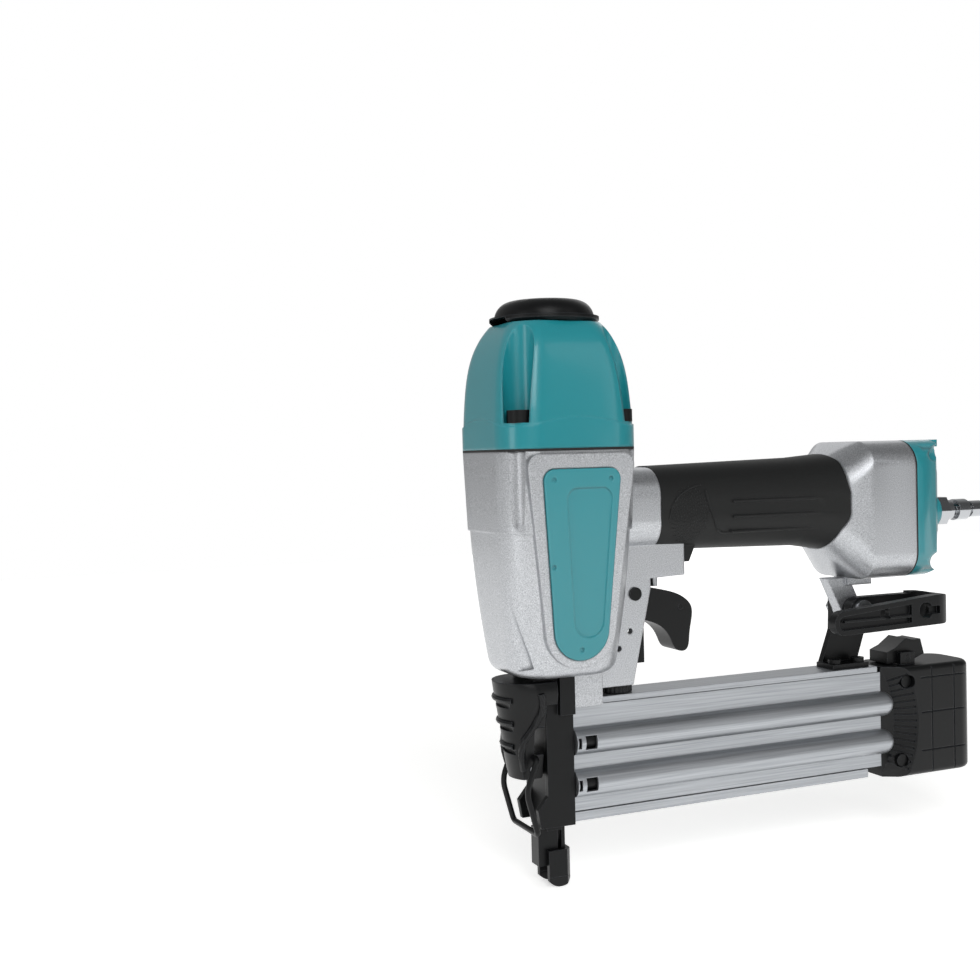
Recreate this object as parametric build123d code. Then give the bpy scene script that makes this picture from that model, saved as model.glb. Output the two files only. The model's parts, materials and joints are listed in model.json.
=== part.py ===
from build123d import *
import os
from math import cos, pi, radians, sin, sqrt

# A pneumatic brad nailer, in millimetres.
# +X points to the rear of the tool and +Z up along the drive axis.
# -Y is the side that carries the painted plate.
# The origin is where the drive axis meets the work, under the contact tip at rest.

# Clearances
slip = 0.3  # beside a piece that moves past another
running = 0.05  # round a pin that turns or slides in its hole
snug = 0.02  # round a piece that stays in its seat

# Head casting
head_top = 178.0
head_bottom = 88.0
head_width = 60.0
head_corner = head_width / 4
waist_z = 118.0
waist_width = head_width - 6.6
crease_z = 146.0
crease_width = head_width - 3.2
crease_step = 0.7
base_width = head_width - 13.5
base_corner = 17.0
base_rounding = 6.0
floor_thickness = 3.0
driver_hole_radius = 5.0

# Cylinder, piston and driver
bore_radius = head_width / 2 - 14.5
cylinder_wall = 2.0
jacket_gap = 2.0
cylinder_flange = 3.0
cylinder_flange_height = 5.0
cylinder_rise = 2.8
piston_height = 9.0
piston_ring_wire = 1.8
bumper_height = 7.0
bumper_hole_radius = 5.5
seal_wire = 2.2
blade_thickness = 1.2
blade_width = 3.0
blade_collar_radius = 4.0
blade_collar_height = 5.0

# Cap, head valve and deflector
gasket = 1.0
cap_height = 51.2
cap_band_height = 13.0
cap_band_crown = 68.0
cap_inset = 0.8
cap_top_width = head_width - 20.0
cap_top_corner = 12.0
cap_cavity_radius = bore_radius + 5.0
cap_cavity_top = 214.0
screw_offset = head_width / 2 - 8.0
screw_radius = 2.5
screw_head_radius = 5.0
screw_head_height = 5.0
screw_depth = 14.0
screw_seat_height = 11.0
scallop_gap = 1.3
flute_radius = 6.0
flute_length = 27.0
valve_ring_height = 14.0
valve_ring_hole = 7.0
head_seal_height = 1.5
deflector_radius = cap_top_width / 2 + 2.4
deflector_flange = 2.6
deflector_height = 9.4
deflector_dome_radius = deflector_radius - 2.0
deflector_crown = 7.4
deflector_wall = 2.0
deflector_screw_radius = 2.5
exhaust_hole_radius = 3.0
exhaust_circle_radius = cap_cavity_radius - 8.5

# Side plate
plate_mid_z = 133.0
plate_face = head_width / 2 - 0.9
plate_tilt = 3.1
plate_top = 38.0
plate_half_width = 16.5
plate_corner = 4.5
plate_low_radius = 11.8
plate_low = 25.5
plate_thickness = 2.0
plate_proud = 0.8
pad_half_width = 9.8
pad_shift = 3.2
pad_top = 30.5
pad_low = 22.0
pad_low_radius = 6.5
pad_sunk = 0.7
plate_hole_radius = 0.9
plate_hole_inset = 4.2
bezel_rim = 3.4
bezel_shoulder_half_width = 23.0
bezel_depth = 14.0

# Neck and trigger
neck_half_width = 10.0
neck_bottom = 80.4
neck_rear_low = 32.5
neck_rear_high = 41.5
tooling_hole_radius = 1.2
tooling_hole_depth = 6.0
tooling_holes = [(31.4, 102.7), (26.1, 95.8)]
boss_bottom = 124.0
boss_rear = 58.0
slot_half_width = 6.5
slot_front = 28.0
slot_bottom = 96.0
trigger_x = 34.0
trigger_z = 118.0
trigger_half_width = 6.0
trigger_wall = 2.0
trigger_pin_radius = 2.0
trigger_length = 29.0
trigger_drop = 26.0
lever_pin_x = 58.3
lever_pin_z = 110.6
lever_pin_radius = 1.2
lever_thickness = 2.4
lever_length = 17.6
valve_x = 48.8
valve_radius = 6.0
valve_height = 13.0
stem_radius = 1.6
stem_reach = 4.4

# Handle and grip
handle_z = 153.0
core_width = 26.0
core_height = 29.0
core_corner = 10.0
grip_front = 44.0
grip_rear = 143.0
grip_front_width = 33.0
grip_roundness = 0.46  # share of the width that the corners take
grip_bow_radius = 34.0
grip_rib_front = 78.0
grip_rib_rear = 124.0
grip_rib_levels = (2.0, -4.5, -11.0)
grip_rib_radius = 0.7
grip_front_height = 35.4
grip_waist_x = 118.0
grip_waist_width = 35.0
grip_waist_height = 39.0
grip_rear_width = 40.0
grip_rear_height = 45.0
air_passage_radius = 9.0

# Flared rear end and end cap
flare_z = handle_z - 4.8
flare_height = 61.6
flare_width = 48.0
flare_corner = 12.0
flare_full_x = 147.0
flare_neck_x = 130.0
flare_swell_x = 139.0
flare_swell_drop = 3.8
flare_swell_width_share = 0.84
flare_swell_height_share = 0.82
flare_rear = 170.0
flare_wall = 6.0
chamber_width = flare_width - 2 * flare_wall
chamber_height = flare_height - 2 * flare_wall
chamber_corner = flare_corner - 2
port_height = flare_height - 4 * flare_wall
end_gasket = 0.8
end_cap_rear = 196.0
end_cap_wall = 5.0
end_screw_y = flare_width / 2 - 6.5
end_screw_z = flare_height / 2 - 6.3
end_screw_radius = 2.0
end_screw_head_radius = 3.6
end_screw_head_height = 3.5
end_screw_depth = 10.0
plug_z = 145.5
plug_boss_radius = 8.2
plug_boss_rear = 199.0
plug_thread_radius = 6.5
plug_thread_depth = 10.0
plug_hex = 12.6
plug_hex_length = 7.0
plug_length = 30.0
plug_nose_radius = 3.9
plug_nose_length = 7.0
plug_bore_radius = 2.5
button_width = 16.0
button_length = 21.0
button_thickness = 3.2
button_travel = 2.0
button_fin_length = 5.5
button_fin_drop = 9.5

# Nose
guide_gap = 0.9  # from the drive axis to each face of the driver track
guide_back = 4.0
guide_half_width = 10.5
guide_wall = 2.5
guide_front = -8.0
guide_low = 26.0
guide_flange = 3.5
guide_flange_front = -13.0
tongue_half_width = 3.5
tongue_low = 6.0
tongue_back = 2.4
ear_front = -12.6
ear_height = 13.0
door_front = -7.5
door_pin_x = -6.2
door_pin_z = 78.5
door_pin_radius = 1.5
door_eye_radius = 3.0
door_low = 8.5
door_chin_front = -9.6
door_chin_half_width = 3.5
latch_pin_x = -13.2
latch_pin_z = 50.0
latch_pin_radius = 1.5
latch_eye_radius = 4.0
latch_half_width = 13.6
latch_low_half_width = 8.5
latch_front = -26.0
latch_top = 85.6
latch_lean = 0.158  # how far the front goes back for each millimetre down
latch_rear = -4.5
latch_wall = 2.4
latch_ribs = 3
latch_rib_drop = 9.3
latch_rib_pitch = 9.5
latch_rib_depth = 2.0
latch_lug_half_width = 4.0
wire_radius = 1.2
wire_rise = 5.0  # of the wire's pivot above the latch pin
wire_bulge = 5.0
wire_offset = 12.1  # of each arm from the middle plane

# Contact arm and depth wheel
foot_half_width = 5.9
foot_wall = 1.6
foot_front = -6.0
foot_rear = tongue_back + slip + foot_wall
foot_top = 15.0
tip_height = 4.0
tip_rounding = 6.6
arm_thickness = 2.0
arm_gap = 0.5
contact_arm_height = 6.0
arm_foot_front = -3.0
arm_foot_rear = 4.0
arm_front = 5.0
arm_rear = 13.0
contact_block_rear = 41.6
contact_block_depth = 3.4
contact_block_half_width = 3.4
contact_block_top = 105.5
contact_block_bottom = 88.0
wheel_x = 28.8
wheel_radius = 7.4
wheel_height = 3.3
wheel_ribs = 24
stud_radius = 2.0
stud_length = 13.0

# Magazine
rail_top = 76.4
rail_bottom = 26.4
rail_back = 8.0
rail_front_y = -8.0
rail_start = 4.3
rail_end = 160.0
rail_top_lip = 2.5
rail_bottom_lip = 3.8
rail_inner_wall = 1.7
rail_wall = 1.6
slide_face = -7.6
slide_wall = 1.8
slide_end = 162.0
rib_radius = 5.6
rib_wall = 1.4
rib_end_wall = 0.6
rib_high_z = 59.2
rib_low_z = 42.0
window_x = 8.4
window_length = 5.2
window_height = 5.6
window_slot_x = 4.9
window_slot_length = 1.6
window_slot_height = 4.4
mag_cap_rear = 212.0
mag_cap_half_width = 14.0
mag_cap_top = 76.0
mag_cap_bottom = 25.6
mag_cap_rounding = 9.0
scoop_x = 126.5
scoop_radius = 52.0
scoop_low_radius = 43.0
scoop_ribs = 15
scoop_rib_turn = 3.6
scoop_groove = 1.1
scoop_groove_depth = 0.9
cap_line = 0.6
cap_line_places = (186.0, 199.0)
cap_line_levels = (36.5, 54.0, 70.0)
mag_cap_wall = 3.0
mag_cap_spigot = 8.0
mag_latch_pin_x = 177.0
mag_latch_pin_z = 79.2
mag_latch_pin_radius = 1.4
mag_latch_half_width = 6.0
mag_latch_saddle = 13.0
mag_latch_front = mag_latch_pin_x - 9.5
pusher_length = 24.0
pusher_guide_radius = 3.7
spring_wire = 0.45
feed_spring_radius = 2.9
feed_spring_turns = 22

# Hanger and belt hook
lug_front = 137.0
lug_ledge_front = 147.0
lug_rear = 160.0
lug_half_width = 3.0
lug_ledge = 3.4
hook_bolt_x = 150.0
hook_bolt_z = flare_z - flare_height / 2 - 14.2
hook_bolt_radius = 2.5
lug_eye_radius = 6.0
arm_width = 3.0
hanger_front = 137.2
hanger_rear = 157.0
hanger_foot = 2.2
hook_near_y = -25.2
hook_back_y = -7.6
hook_free_x = 127.0
hook_turn_x = 178.0
hook_thickness = 4.6
hook_height = 11.5
hook_end_radius = 5.2
hook_end_drop = 2.6
hook_turn_radius = 6.6
hook_key_height = 3.6
hook_hole_radius = 3.8
hook_hole_x = 171.5

# Small fasteners and springs
head_spring_radius = cap_cavity_radius - 8.0
head_spring_wire = 0.8
contact_spring_radius = 1.6
contact_spring_wire = 0.35
spring_lug_rise = 16.0
end_screw_seat_depth = 5.0
nose_screw_radius = 1.5
nose_screw_x = -9.8
nose_screw_y = 4.6
hanger_screw_radius = 1.5
hanger_screw_y = -2.4
hanger_screw_inset = 3.5
rail_screw_radius = 1.5
rail_screw_y = 5.0
rail_screw_inset = 8.0
mag_bolt_radius = 1.5
mag_bolt_x = 173.5
mag_bolt_rake = 3.0

# Worked-out levels and places
cylinder_radius = bore_radius + cylinder_wall
jacket_radius = cylinder_radius + jacket_gap
floor_top = head_bottom + floor_thickness
cylinder_top = head_top + cylinder_rise
piston_top = cylinder_top - 0.8
piston_bottom = piston_top - piston_height
bumper_top = floor_top + bumper_height
cap_bottom = head_top + gasket
cap_top = head_top + cap_height
screw_seat = head_top + screw_seat_height
valve_ring_bottom = cylinder_top + slip
screw_places = [(sx * screw_offset, sy * screw_offset) for sx in (-1, 1) for sy in (-1, 1)]
end_screw_places = [(sy * end_screw_y, flare_z + sz * end_screw_z) for sy in (-1, 1) for sz in (-1, 1)]
end_cap_front = flare_rear + end_gasket
wire_pivot_z = latch_pin_z + wire_rise
wire_bar_z = guide_low - slip - wire_radius
arm_inner_y = guide_half_width + arm_gap
arm_outer_y = arm_inner_y + arm_thickness
rib_levels = (rib_low_z, rib_high_z)
slide_low = rail_bottom + rail_bottom_lip + slip
slide_high = rail_top - rail_top_lip - slip
driver_low = rail_top + 1.6
cylinder_seal_levels = (floor_top + 18, head_top - cylinder_flange_height - 8)
end_screw_seat = end_cap_front + end_screw_seat_depth
nose_screw_places = [(nose_screw_x, nose_screw_y), (nose_screw_x, -nose_screw_y)]
contact_arm_seat = contact_block_bottom + contact_arm_height
spring_lug_z = contact_block_bottom + spring_lug_rise
contact_spring_x = contact_block_rear - 5
hanger_screw_places = (hanger_front + hanger_screw_inset, hanger_rear - hanger_screw_inset)
rail_screw_seat = guide_gap + 2.0
rail_screw_levels = (rail_bottom + rail_screw_inset, rail_top - rail_screw_inset)
mag_bolt_places = [(mag_bolt_x, mag_cap_top - 7.1), (mag_bolt_x - mag_bolt_rake, mag_cap_bottom + 7.4)]


# Helpers for simple forms
def block(x_low, x_high, y_low, y_high, z_low, z_high):
    middle = Pos((x_low + x_high) / 2, (y_low + y_high) / 2, (z_low + z_high) / 2)
    return middle * Box(x_high - x_low, y_high - y_low, z_high - z_low)


def post(radius, z_low, z_high, x=0.0, y=0.0):
    return Pos(x, y, (z_low + z_high) / 2) * Cylinder(radius, z_high - z_low)


def cross_pin(radius, y_low, y_high, x, z):
    return Pos(x, (y_low + y_high) / 2, z) * Rot(90, 0, 0) * Cylinder(radius, y_high - y_low)


def long_pin(radius, x_low, x_high, y, z):
    return Pos((x_low + x_high) / 2, y, z) * Rot(0, 90, 0) * Cylinder(radius, x_high - x_low)


def outline(points, rounding=0.0):
    face = make_face(Polyline(*points, close=True))
    if rounding > 0:
        face = fillet(face.vertices(), rounding)
    return face


def side_prism(profile, y_low, y_high):
    # A profile drawn in X and Z, carried across the tool
    plane = Plane(origin=(0, y_high, 0), x_dir=(1, 0, 0), z_dir=(0, -1, 0))
    return extrude(plane * profile, amount=y_high - y_low)


def cross_section(x, z, width, height, corner):
    # A rounded rectangle that stands across the handle's axis
    plane = Plane(origin=(x, 0, z), x_dir=(0, 1, 0), z_dir=(1, 0, 0))
    return plane * RectangleRounded(width, height, corner)


def round_square(width, corner, z):
    return Pos(0, 0, z) * RectangleRounded(width, width, corner)


def coil(radius, wire, turns, height):
    # A spring that stands on Z = 0 and keeps within its height
    pitch = (height - 2 * wire) / turns
    path = Pos(0, 0, wire) * Helix(pitch, pitch * turns, radius)
    return sweep(Plane(origin=path @ 0, z_dir=path % 0) * Circle(wire), path=path)


def cone_on_base(base_radius, top_radius, height):
    return Pos(0, 0, height / 2) * Cone(base_radius, top_radius, height)


def ring_of(wire, radius, z):
    return Pos(0, 0, z) * Torus(radius, wire / 2)


def joined(pieces):
    return Compound(children=list(pieces))


# Head casting
def head_form():
    # Two lofts, the upper one a little fuller, so that a crease runs round the head
    lower_stations = [
        (head_bottom, base_width, base_corner),
        (waist_z, waist_width, head_corner + 1.5),
        (crease_z, crease_width, head_corner + 0.5),
    ]
    lower = loft([round_square(width, corner, z) for z, width, corner in lower_stations])
    lower = fillet(lower.edges().group_by(Axis.Z)[0], base_rounding)
    upper_low = round_square(crease_width + 2 * crease_step, head_corner + 0.5, crease_z)
    return lower + loft([upper_low, round_square(head_width, head_corner, head_top)])


def plate_plane():
    tilt = radians(plate_tilt)
    return Plane(origin=(0, -plate_face, plate_mid_z), x_dir=(1, 0, 0), z_dir=(0, -cos(tilt), -sin(tilt)))


def shield(half_width, corner, top, low, low_radius, shift=0.0):
    # A tapering shield: two small corners above and one large round below
    rounds = [Pos(shift + side * (half_width - corner), top - corner) * Circle(corner) for side in (-1, 1)]
    rounds.append(Pos(shift, -low) * Circle(low_radius))
    return make_hull([edge for circle in rounds for edge in circle.edges()])


def bezel_form():
    rim_top = head_top - plate_mid_z - 1.0
    low_radius = plate_low_radius + bezel_rim
    profile = shield(bezel_shoulder_half_width, head_corner / 3, rim_top, plate_low, low_radius)
    return extrude(plate_plane() * profile, amount=-bezel_depth)


def plate_outline(grow=0.0):
    corner = plate_corner + grow
    return shield(plate_half_width + grow, corner, plate_top + grow, plate_low, plate_low_radius + grow)


def neck_form():
    profile = outline([
        (guide_back, neck_bottom),
        (neck_rear_low, neck_bottom),
        (neck_rear_high, boss_bottom - 4),
        (neck_rear_high, boss_bottom),
        (boss_rear, boss_bottom + 0.6),
        (boss_rear, handle_z),
        (guide_back, handle_z),
    ])
    return side_prism(profile, -neck_half_width, neck_half_width)


def handle_core(grow=0.0):
    section = cross_section(0, handle_z, core_width + 2 * grow, core_height + 2 * grow, core_corner + grow)
    return extrude(section, amount=flare_full_x)


def handle_root():
    section = cross_section(0, handle_z, grip_front_width - 1, grip_front_height - 1, core_corner + 3)
    return extrude(section, amount=grip_front)


def flare_form():
    # A curved swell up to the crease, then a straight run to the end cap
    start = cross_section(flare_neck_x, handle_z - 2.5, core_width + 4, core_height + 6, core_corner + 4)
    swell_width = flare_width * flare_swell_width_share
    swell_height = flare_height * flare_swell_height_share
    swell_z = handle_z - flare_swell_drop
    swell = cross_section(flare_swell_x, swell_z, swell_width, swell_height, flare_corner + 3)
    full = cross_section(flare_full_x, flare_z, flare_width, flare_height, flare_corner)
    straight = extrude(full, amount=flare_rear - flare_full_x)
    return loft([start, swell, full]) + straight


def lug_form():
    flare_low = flare_z - flare_height / 2
    ledge_half = lug_half_width + 2
    ledge = block(lug_ledge_front, lug_rear, -ledge_half, ledge_half, flare_low - lug_ledge, flare_low + 3)
    leg = outline([
        (lug_front, flare_low),
        (lug_front + 2 * lug_eye_radius, flare_low),
        (hook_bolt_x + lug_eye_radius, hook_bolt_z),
        (hook_bolt_x - lug_eye_radius, hook_bolt_z),
    ])
    eye = cross_pin(lug_eye_radius, -lug_half_width, lug_half_width, hook_bolt_x, hook_bolt_z)
    return ledge + side_prism(leg, -lug_half_width, lug_half_width) + eye


def foot_form():
    # The cast saddle behind the nose, open underneath over the magazine's front
    low = rail_top - 2.6
    near = -guide_half_width - 1.4
    saddle = block(guide_back, guide_back + 13, near, rail_back + 1.2, rail_top + slip, head_bottom + 8)
    skirt = block(guide_back, guide_back + 13, near, rail_front_y - 2 * slip, low, head_bottom)
    return saddle + skirt


def spring_lug():
    near = neck_half_width - 1
    far = arm_outer_y + 1.2
    return block(contact_spring_x - 3.5, contact_spring_x + 2, near, far, spring_lug_z, spring_lug_z + 3)


def flute_cutters():
    reach = sqrt(2) * screw_offset + screw_radius + 0.5
    away = (reach + flute_radius) / sqrt(2)
    cutters = []
    for x, y in screw_places:
        place = (away if x > 0 else -away, away if y > 0 else -away)
        low = head_top - flute_length
        cutters.append(post(flute_radius, low, head_top + 1, *place))
        cutters.append(Pos(*place, low) * Sphere(flute_radius))
    return cutters


def housing():
    form = head_form() + bezel_form() + neck_form() + handle_core() + handle_root()
    form = form + (flare_form() - grip_form(snug)) + lug_form() + foot_form() + spring_lug()
    form -= post(jacket_radius, floor_top, head_top + 1)
    form -= post(cylinder_radius + cylinder_flange + snug, head_top - cylinder_flange_height, head_top + 1)
    form -= post(driver_hole_radius, neck_bottom - 10, floor_top + 1)
    form -= flute_cutters()
    thread_low = head_top - screw_depth - 1
    form -= [post(screw_radius + snug, thread_low, head_top + 1, x, y) for x, y in screw_places]
    seat_depth = plate_thickness - plate_proud
    form -= extrude(plate_plane() * plate_outline(0.15), amount=-seat_depth)
    slot_half = slot_half_width
    form -= block(slot_front, neck_rear_high + 20, -slot_half, slot_half, slot_bottom, boss_bottom)
    form -= post(valve_radius + snug, boss_bottom - 1, boss_bottom + valve_height, valve_x)
    across = neck_half_width + 1
    form -= cross_pin(trigger_pin_radius + snug, -across, across, trigger_x, trigger_z)
    form -= post(stud_radius + running, neck_bottom - 1, neck_bottom + stud_length + 3, wheel_x)
    form -= long_pin(air_passage_radius, boss_rear + 6, flare_full_x + 5, 0, handle_z)
    chamber = cross_section(flare_full_x + 4, flare_z, chamber_width, chamber_height, chamber_corner)
    form -= extrude(chamber, amount=flare_rear - flare_full_x)
    for y, z in end_screw_places:
        form -= long_pin(end_screw_radius + snug, flare_rear - end_screw_depth, flare_rear + 1, y, z)
    form -= cross_pin(hook_bolt_radius + snug, -20, 20, hook_bolt_x, hook_bolt_z)
    hole_floor = tooling_hole_depth - neck_half_width
    for x, z in tooling_holes:
        form -= cross_pin(tooling_hole_radius, -neck_half_width - 1, hole_floor, x, z)
    for x, y in nose_screw_places:
        form -= post(nose_screw_radius + snug, neck_bottom, head_bottom + 2.5, x, y)
    return form


# Cylinder, piston and driver
def cylinder():
    tube = post(cylinder_radius, floor_top, cylinder_top)
    tube += post(cylinder_radius + cylinder_flange, head_top - cylinder_flange_height, head_top)
    tube -= post(bore_radius, floor_top - 1, cylinder_top + 1)
    for z in cylinder_seal_levels:
        tube -= ring_of(seal_wire + 2 * snug, cylinder_radius - seal_wire / 2 + jacket_gap - snug, z)
    return tube


def cylinder_seals():
    middle = cylinder_radius - seal_wire / 2 + jacket_gap - snug
    return joined([ring_of(seal_wire, middle, z) for z in cylinder_seal_levels])


def piston():
    body = post(bore_radius - 2 * running, piston_bottom, piston_top)
    groove_z = piston_bottom + piston_height / 2
    groove_radius = bore_radius - running - piston_ring_wire
    groove = post(bore_radius + 1, groove_z - piston_ring_wire / 2, groove_z + piston_ring_wire / 2)
    groove -= post(groove_radius, groove_z - piston_ring_wire, groove_z + piston_ring_wire)
    body -= groove
    body -= post(bore_radius - 5, piston_top - 3, piston_top + 1)
    return body


def piston_ring():
    middle = piston_bottom + piston_height / 2
    return ring_of(piston_ring_wire - 2 * snug, bore_radius - running - piston_ring_wire / 2, middle)


def driver_blade():
    half_thickness = blade_thickness / 2
    half_width = blade_width / 2
    blade = block(-half_thickness, half_thickness, -half_width, half_width, driver_low, piston_bottom)
    return blade + post(blade_collar_radius, piston_bottom - blade_collar_height, piston_bottom)


def bumper():
    ring = post(bore_radius - 0.2, floor_top, bumper_top)
    return ring - post(bumper_hole_radius, floor_top - 1, bumper_top + 1)


# Cap, head valve and deflector
def cap_dome():
    rise = cap_top - cap_bottom
    shape = [(0.0, 1.0), (0.40, 0.993), (0.61, 0.945), (0.77, 0.865), (0.90, 0.745), (1.0, 0.6)]
    widest = head_width - 2 * cap_inset
    sections = []
    for height, share in shape:
        width = cap_top_width + (widest - cap_top_width) * (share - 0.6) / 0.4
        corner = cap_top_corner + (head_corner - cap_top_corner) * (share - 0.6) / 0.4
        sections.append(round_square(width, corner, cap_bottom + rise * height))
    return loft(sections)


def cap_band():
    band = extrude(round_square(head_width, head_corner, cap_bottom), amount=cap_band_height)
    half = head_width / 2
    centre = cap_bottom + cap_band_height - sqrt(cap_band_crown**2 - half**2) - 1.0
    return band & (Pos(0, 0, centre) * Sphere(cap_band_crown))


def cylinder_cap():
    form = cap_dome() + cap_band()
    form -= [post(screw_head_radius + scallop_gap, screw_seat, cap_top + 1, x, y) for x, y in screw_places]
    form -= [post(screw_radius + 0.2, cap_bottom - 1, cap_top, x, y) for x, y in screw_places]
    form -= post(cap_cavity_radius, cap_bottom - 1, cap_cavity_top)
    form -= post(deflector_screw_radius + snug, cap_cavity_top - 1, cap_top + 1)
    for turn in range(4):
        angle = pi / 4 + turn * pi / 2
        x = exhaust_circle_radius * cos(angle)
        y = exhaust_circle_radius * sin(angle)
        form -= post(exhaust_hole_radius, cap_cavity_top - 1, cap_top + 1, x, y)
    return form


def cap_gasket():
    sheet = extrude(round_square(head_width, head_corner, head_top), amount=gasket)
    sheet -= post(cap_cavity_radius, head_top - 1, cap_bottom + 1)
    sheet -= [post(screw_radius + 0.2, head_top - 1, cap_bottom + 1, x, y) for x, y in screw_places]
    return sheet


def socket_screw(radius, head_radius, head_height, seat, depth):
    # A cap screw that stands head up, with its seat at the given level
    screw = post(radius, seat - depth, seat) + post(head_radius, seat, seat + head_height)
    socket = Pos(0, 0, seat + head_height / 2) * RegularPolygon(head_radius * 0.55, 6)
    return screw - extrude(socket, amount=head_height)


def cap_screws():
    depth = screw_seat - head_top + screw_depth
    screw = socket_screw(screw_radius, screw_head_radius, screw_head_height, screw_seat, depth)
    return joined([Pos(x, y, 0) * screw for x, y in screw_places])


def head_valve():
    low = valve_ring_bottom + head_seal_height
    ring = post(cap_cavity_radius - slip, low, low + valve_ring_height)
    ring -= post(valve_ring_hole, low - 1, low + valve_ring_height + 1)
    groove = post(head_spring_radius + 2.2, low + valve_ring_height / 2, low + valve_ring_height + 1)
    groove -= post(head_spring_radius - 2.2, low, low + valve_ring_height + 2)
    return ring - groove


def head_valve_seal():
    disc = post(cylinder_radius, valve_ring_bottom, valve_ring_bottom + head_seal_height)
    return disc - post(valve_ring_hole, valve_ring_bottom - 1, valve_ring_bottom + head_seal_height + 1)


def head_valve_spring():
    low = valve_ring_bottom + head_seal_height + valve_ring_height / 2
    return Pos(0, 0, low) * coil(head_spring_radius, head_spring_wire, 4, cap_cavity_top - low)


def exhaust_deflector():
    low = cap_top + slip
    flange = post(deflector_radius, low, low + deflector_flange)
    flange = chamfer(flange.edges().group_by(Axis.Z)[0], 1.2)
    dome = post(deflector_dome_radius, low, low + deflector_height)
    dome = fillet(dome.edges().group_by(Axis.Z)[-1], deflector_crown)
    cover = flange + dome
    inside = deflector_dome_radius - deflector_wall
    cover -= post(inside, low - 1, low + deflector_height - 2 * deflector_wall - 1)
    cover += post(deflector_screw_radius + 3, low, low + deflector_height - deflector_wall)
    cover -= post(deflector_screw_radius + running, low - 1, low + deflector_height + 1)
    cover -= post(deflector_screw_radius + 2.6, low + deflector_height - 3.2, low + deflector_height + 1)
    port_high = low + deflector_flange - 0.6
    return cover - block(-deflector_radius - 1, -deflector_dome_radius / 2, -8, 8, low - 1, port_high)


def deflector_screw():
    seat = cap_top + slip + deflector_height - 3.2 + slip
    depth = seat - cap_cavity_top - 2
    return socket_screw(deflector_screw_radius, deflector_screw_radius + 2, 2.6, seat, depth)


# Side plate
def side_plate():
    back = plate_proud - plate_thickness
    plane = plate_plane()
    plate = extrude(plane.offset(back) * plate_outline(), amount=plate_thickness)
    pad = shield(pad_half_width, plate_corner, pad_top, pad_low, pad_low_radius, pad_shift)
    plate -= extrude(plane.offset(plate_proud) * pad, amount=-pad_sunk)
    corner_x = plate_half_width - plate_hole_inset
    corner_y = plate_top - plate_hole_inset
    bottom_y = plate_hole_inset - plate_low - plate_low_radius
    for x, y in [(-corner_x, corner_y), (corner_x, corner_y), (-corner_x, 0), (0, bottom_y)]:
        hole = Pos(x, y) * Circle(plate_hole_radius)
        plate -= extrude(plane.offset(plate_proud) * hole, amount=-pad_sunk)
    return plate


# Trigger group
def trigger_outline():
    # One smooth curve over the knuckle and back, round the tip and up the finger's hollow
    x = trigger_x
    z = trigger_z
    length = trigger_length
    drop = trigger_drop
    return make_face(Spline([
        (x - 3.6, z + 3.2),
        (x + 6, z + 2.4),
        (x + length * 0.52, z + 0.6),
        (x + length * 0.9, z - 3.6),
        (x + length, z - 6.5),
        (x + length * 0.98, z - drop * 0.72),
        (x + length * 0.9, z - drop),
        (x + length * 0.76, z - drop * 0.98),
        (x + length * 0.66, z - drop * 0.80),
        (x + length * 0.5, z - drop * 0.58),
        (x + length * 0.22, z - drop * 0.45),
        (x - 3.6, z - 3.6),
    ], periodic=True))


def trigger():
    form = side_prism(trigger_outline(), -trigger_half_width, trigger_half_width)
    inner = trigger_half_width - trigger_wall
    form -= block(trigger_x + 3, lever_pin_x + 3, -inner, inner, trigger_z - 10, trigger_z + 10)
    form -= block(trigger_x + 3, trigger_x + 9, -inner, inner, trigger_z - trigger_drop, trigger_z + 10)
    form -= block(trigger_x - 6, trigger_x + 9, -inner, inner, trigger_z - trigger_drop, trigger_z - 4.5)
    form -= cross_pin(trigger_pin_radius + running, -10, 10, trigger_x, trigger_z)
    form -= cross_pin(lever_pin_radius + snug, -10, 10, lever_pin_x, lever_pin_z)
    return form


def trigger_pin():
    near = -neck_half_width
    shaft = cross_pin(trigger_pin_radius, near, neck_half_width + 1, trigger_x, trigger_z)
    return shaft + cross_pin(trigger_pin_radius + 0.8, near - 0.8, near, trigger_x, trigger_z)


def lever_pin():
    return cross_pin(lever_pin_radius, -trigger_half_width, trigger_half_width, lever_pin_x, lever_pin_z)


def trigger_lever():
    inner = trigger_half_width - trigger_wall - slip
    rise = lever_thickness
    profile = outline([
        (lever_pin_x, lever_pin_z - rise / 2),
        (lever_pin_x, lever_pin_z + rise / 2),
        (lever_pin_x - lever_length * 0.6, lever_pin_z + rise * 1.9),
        (lever_pin_x - lever_length, lever_pin_z + rise * 1.9),
        (lever_pin_x - lever_length, lever_pin_z + rise * 0.9),
        (lever_pin_x - lever_length * 0.6, lever_pin_z + rise * 0.9),
    ])
    eye = cross_pin(lever_pin_radius + 1, -inner, inner, lever_pin_x, lever_pin_z)
    lever = side_prism(profile, -inner, inner) + eye
    return lever - cross_pin(lever_pin_radius + running, -10, 10, lever_pin_x, lever_pin_z)


def valve_body():
    body = post(valve_radius, boss_bottom, boss_bottom + valve_height, valve_x)
    body -= post(stem_radius + running, boss_bottom - 1, boss_bottom + valve_height, valve_x)
    body -= post(valve_radius - 1.6, boss_bottom + 3.5, boss_bottom + valve_height - 1, valve_x)
    return body


def valve_stem():
    stem = post(stem_radius, boss_bottom - stem_reach, boss_bottom + valve_height - 4, valve_x)
    return stem + post(valve_radius - 2.0, boss_bottom + 4, boss_bottom + 5.5, valve_x)


def valve_spring():
    low = boss_bottom + 5.5
    return Pos(valve_x, 0, low) * coil(valve_radius - 2.8, 0.35, 4, valve_height - 6.5)


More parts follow.
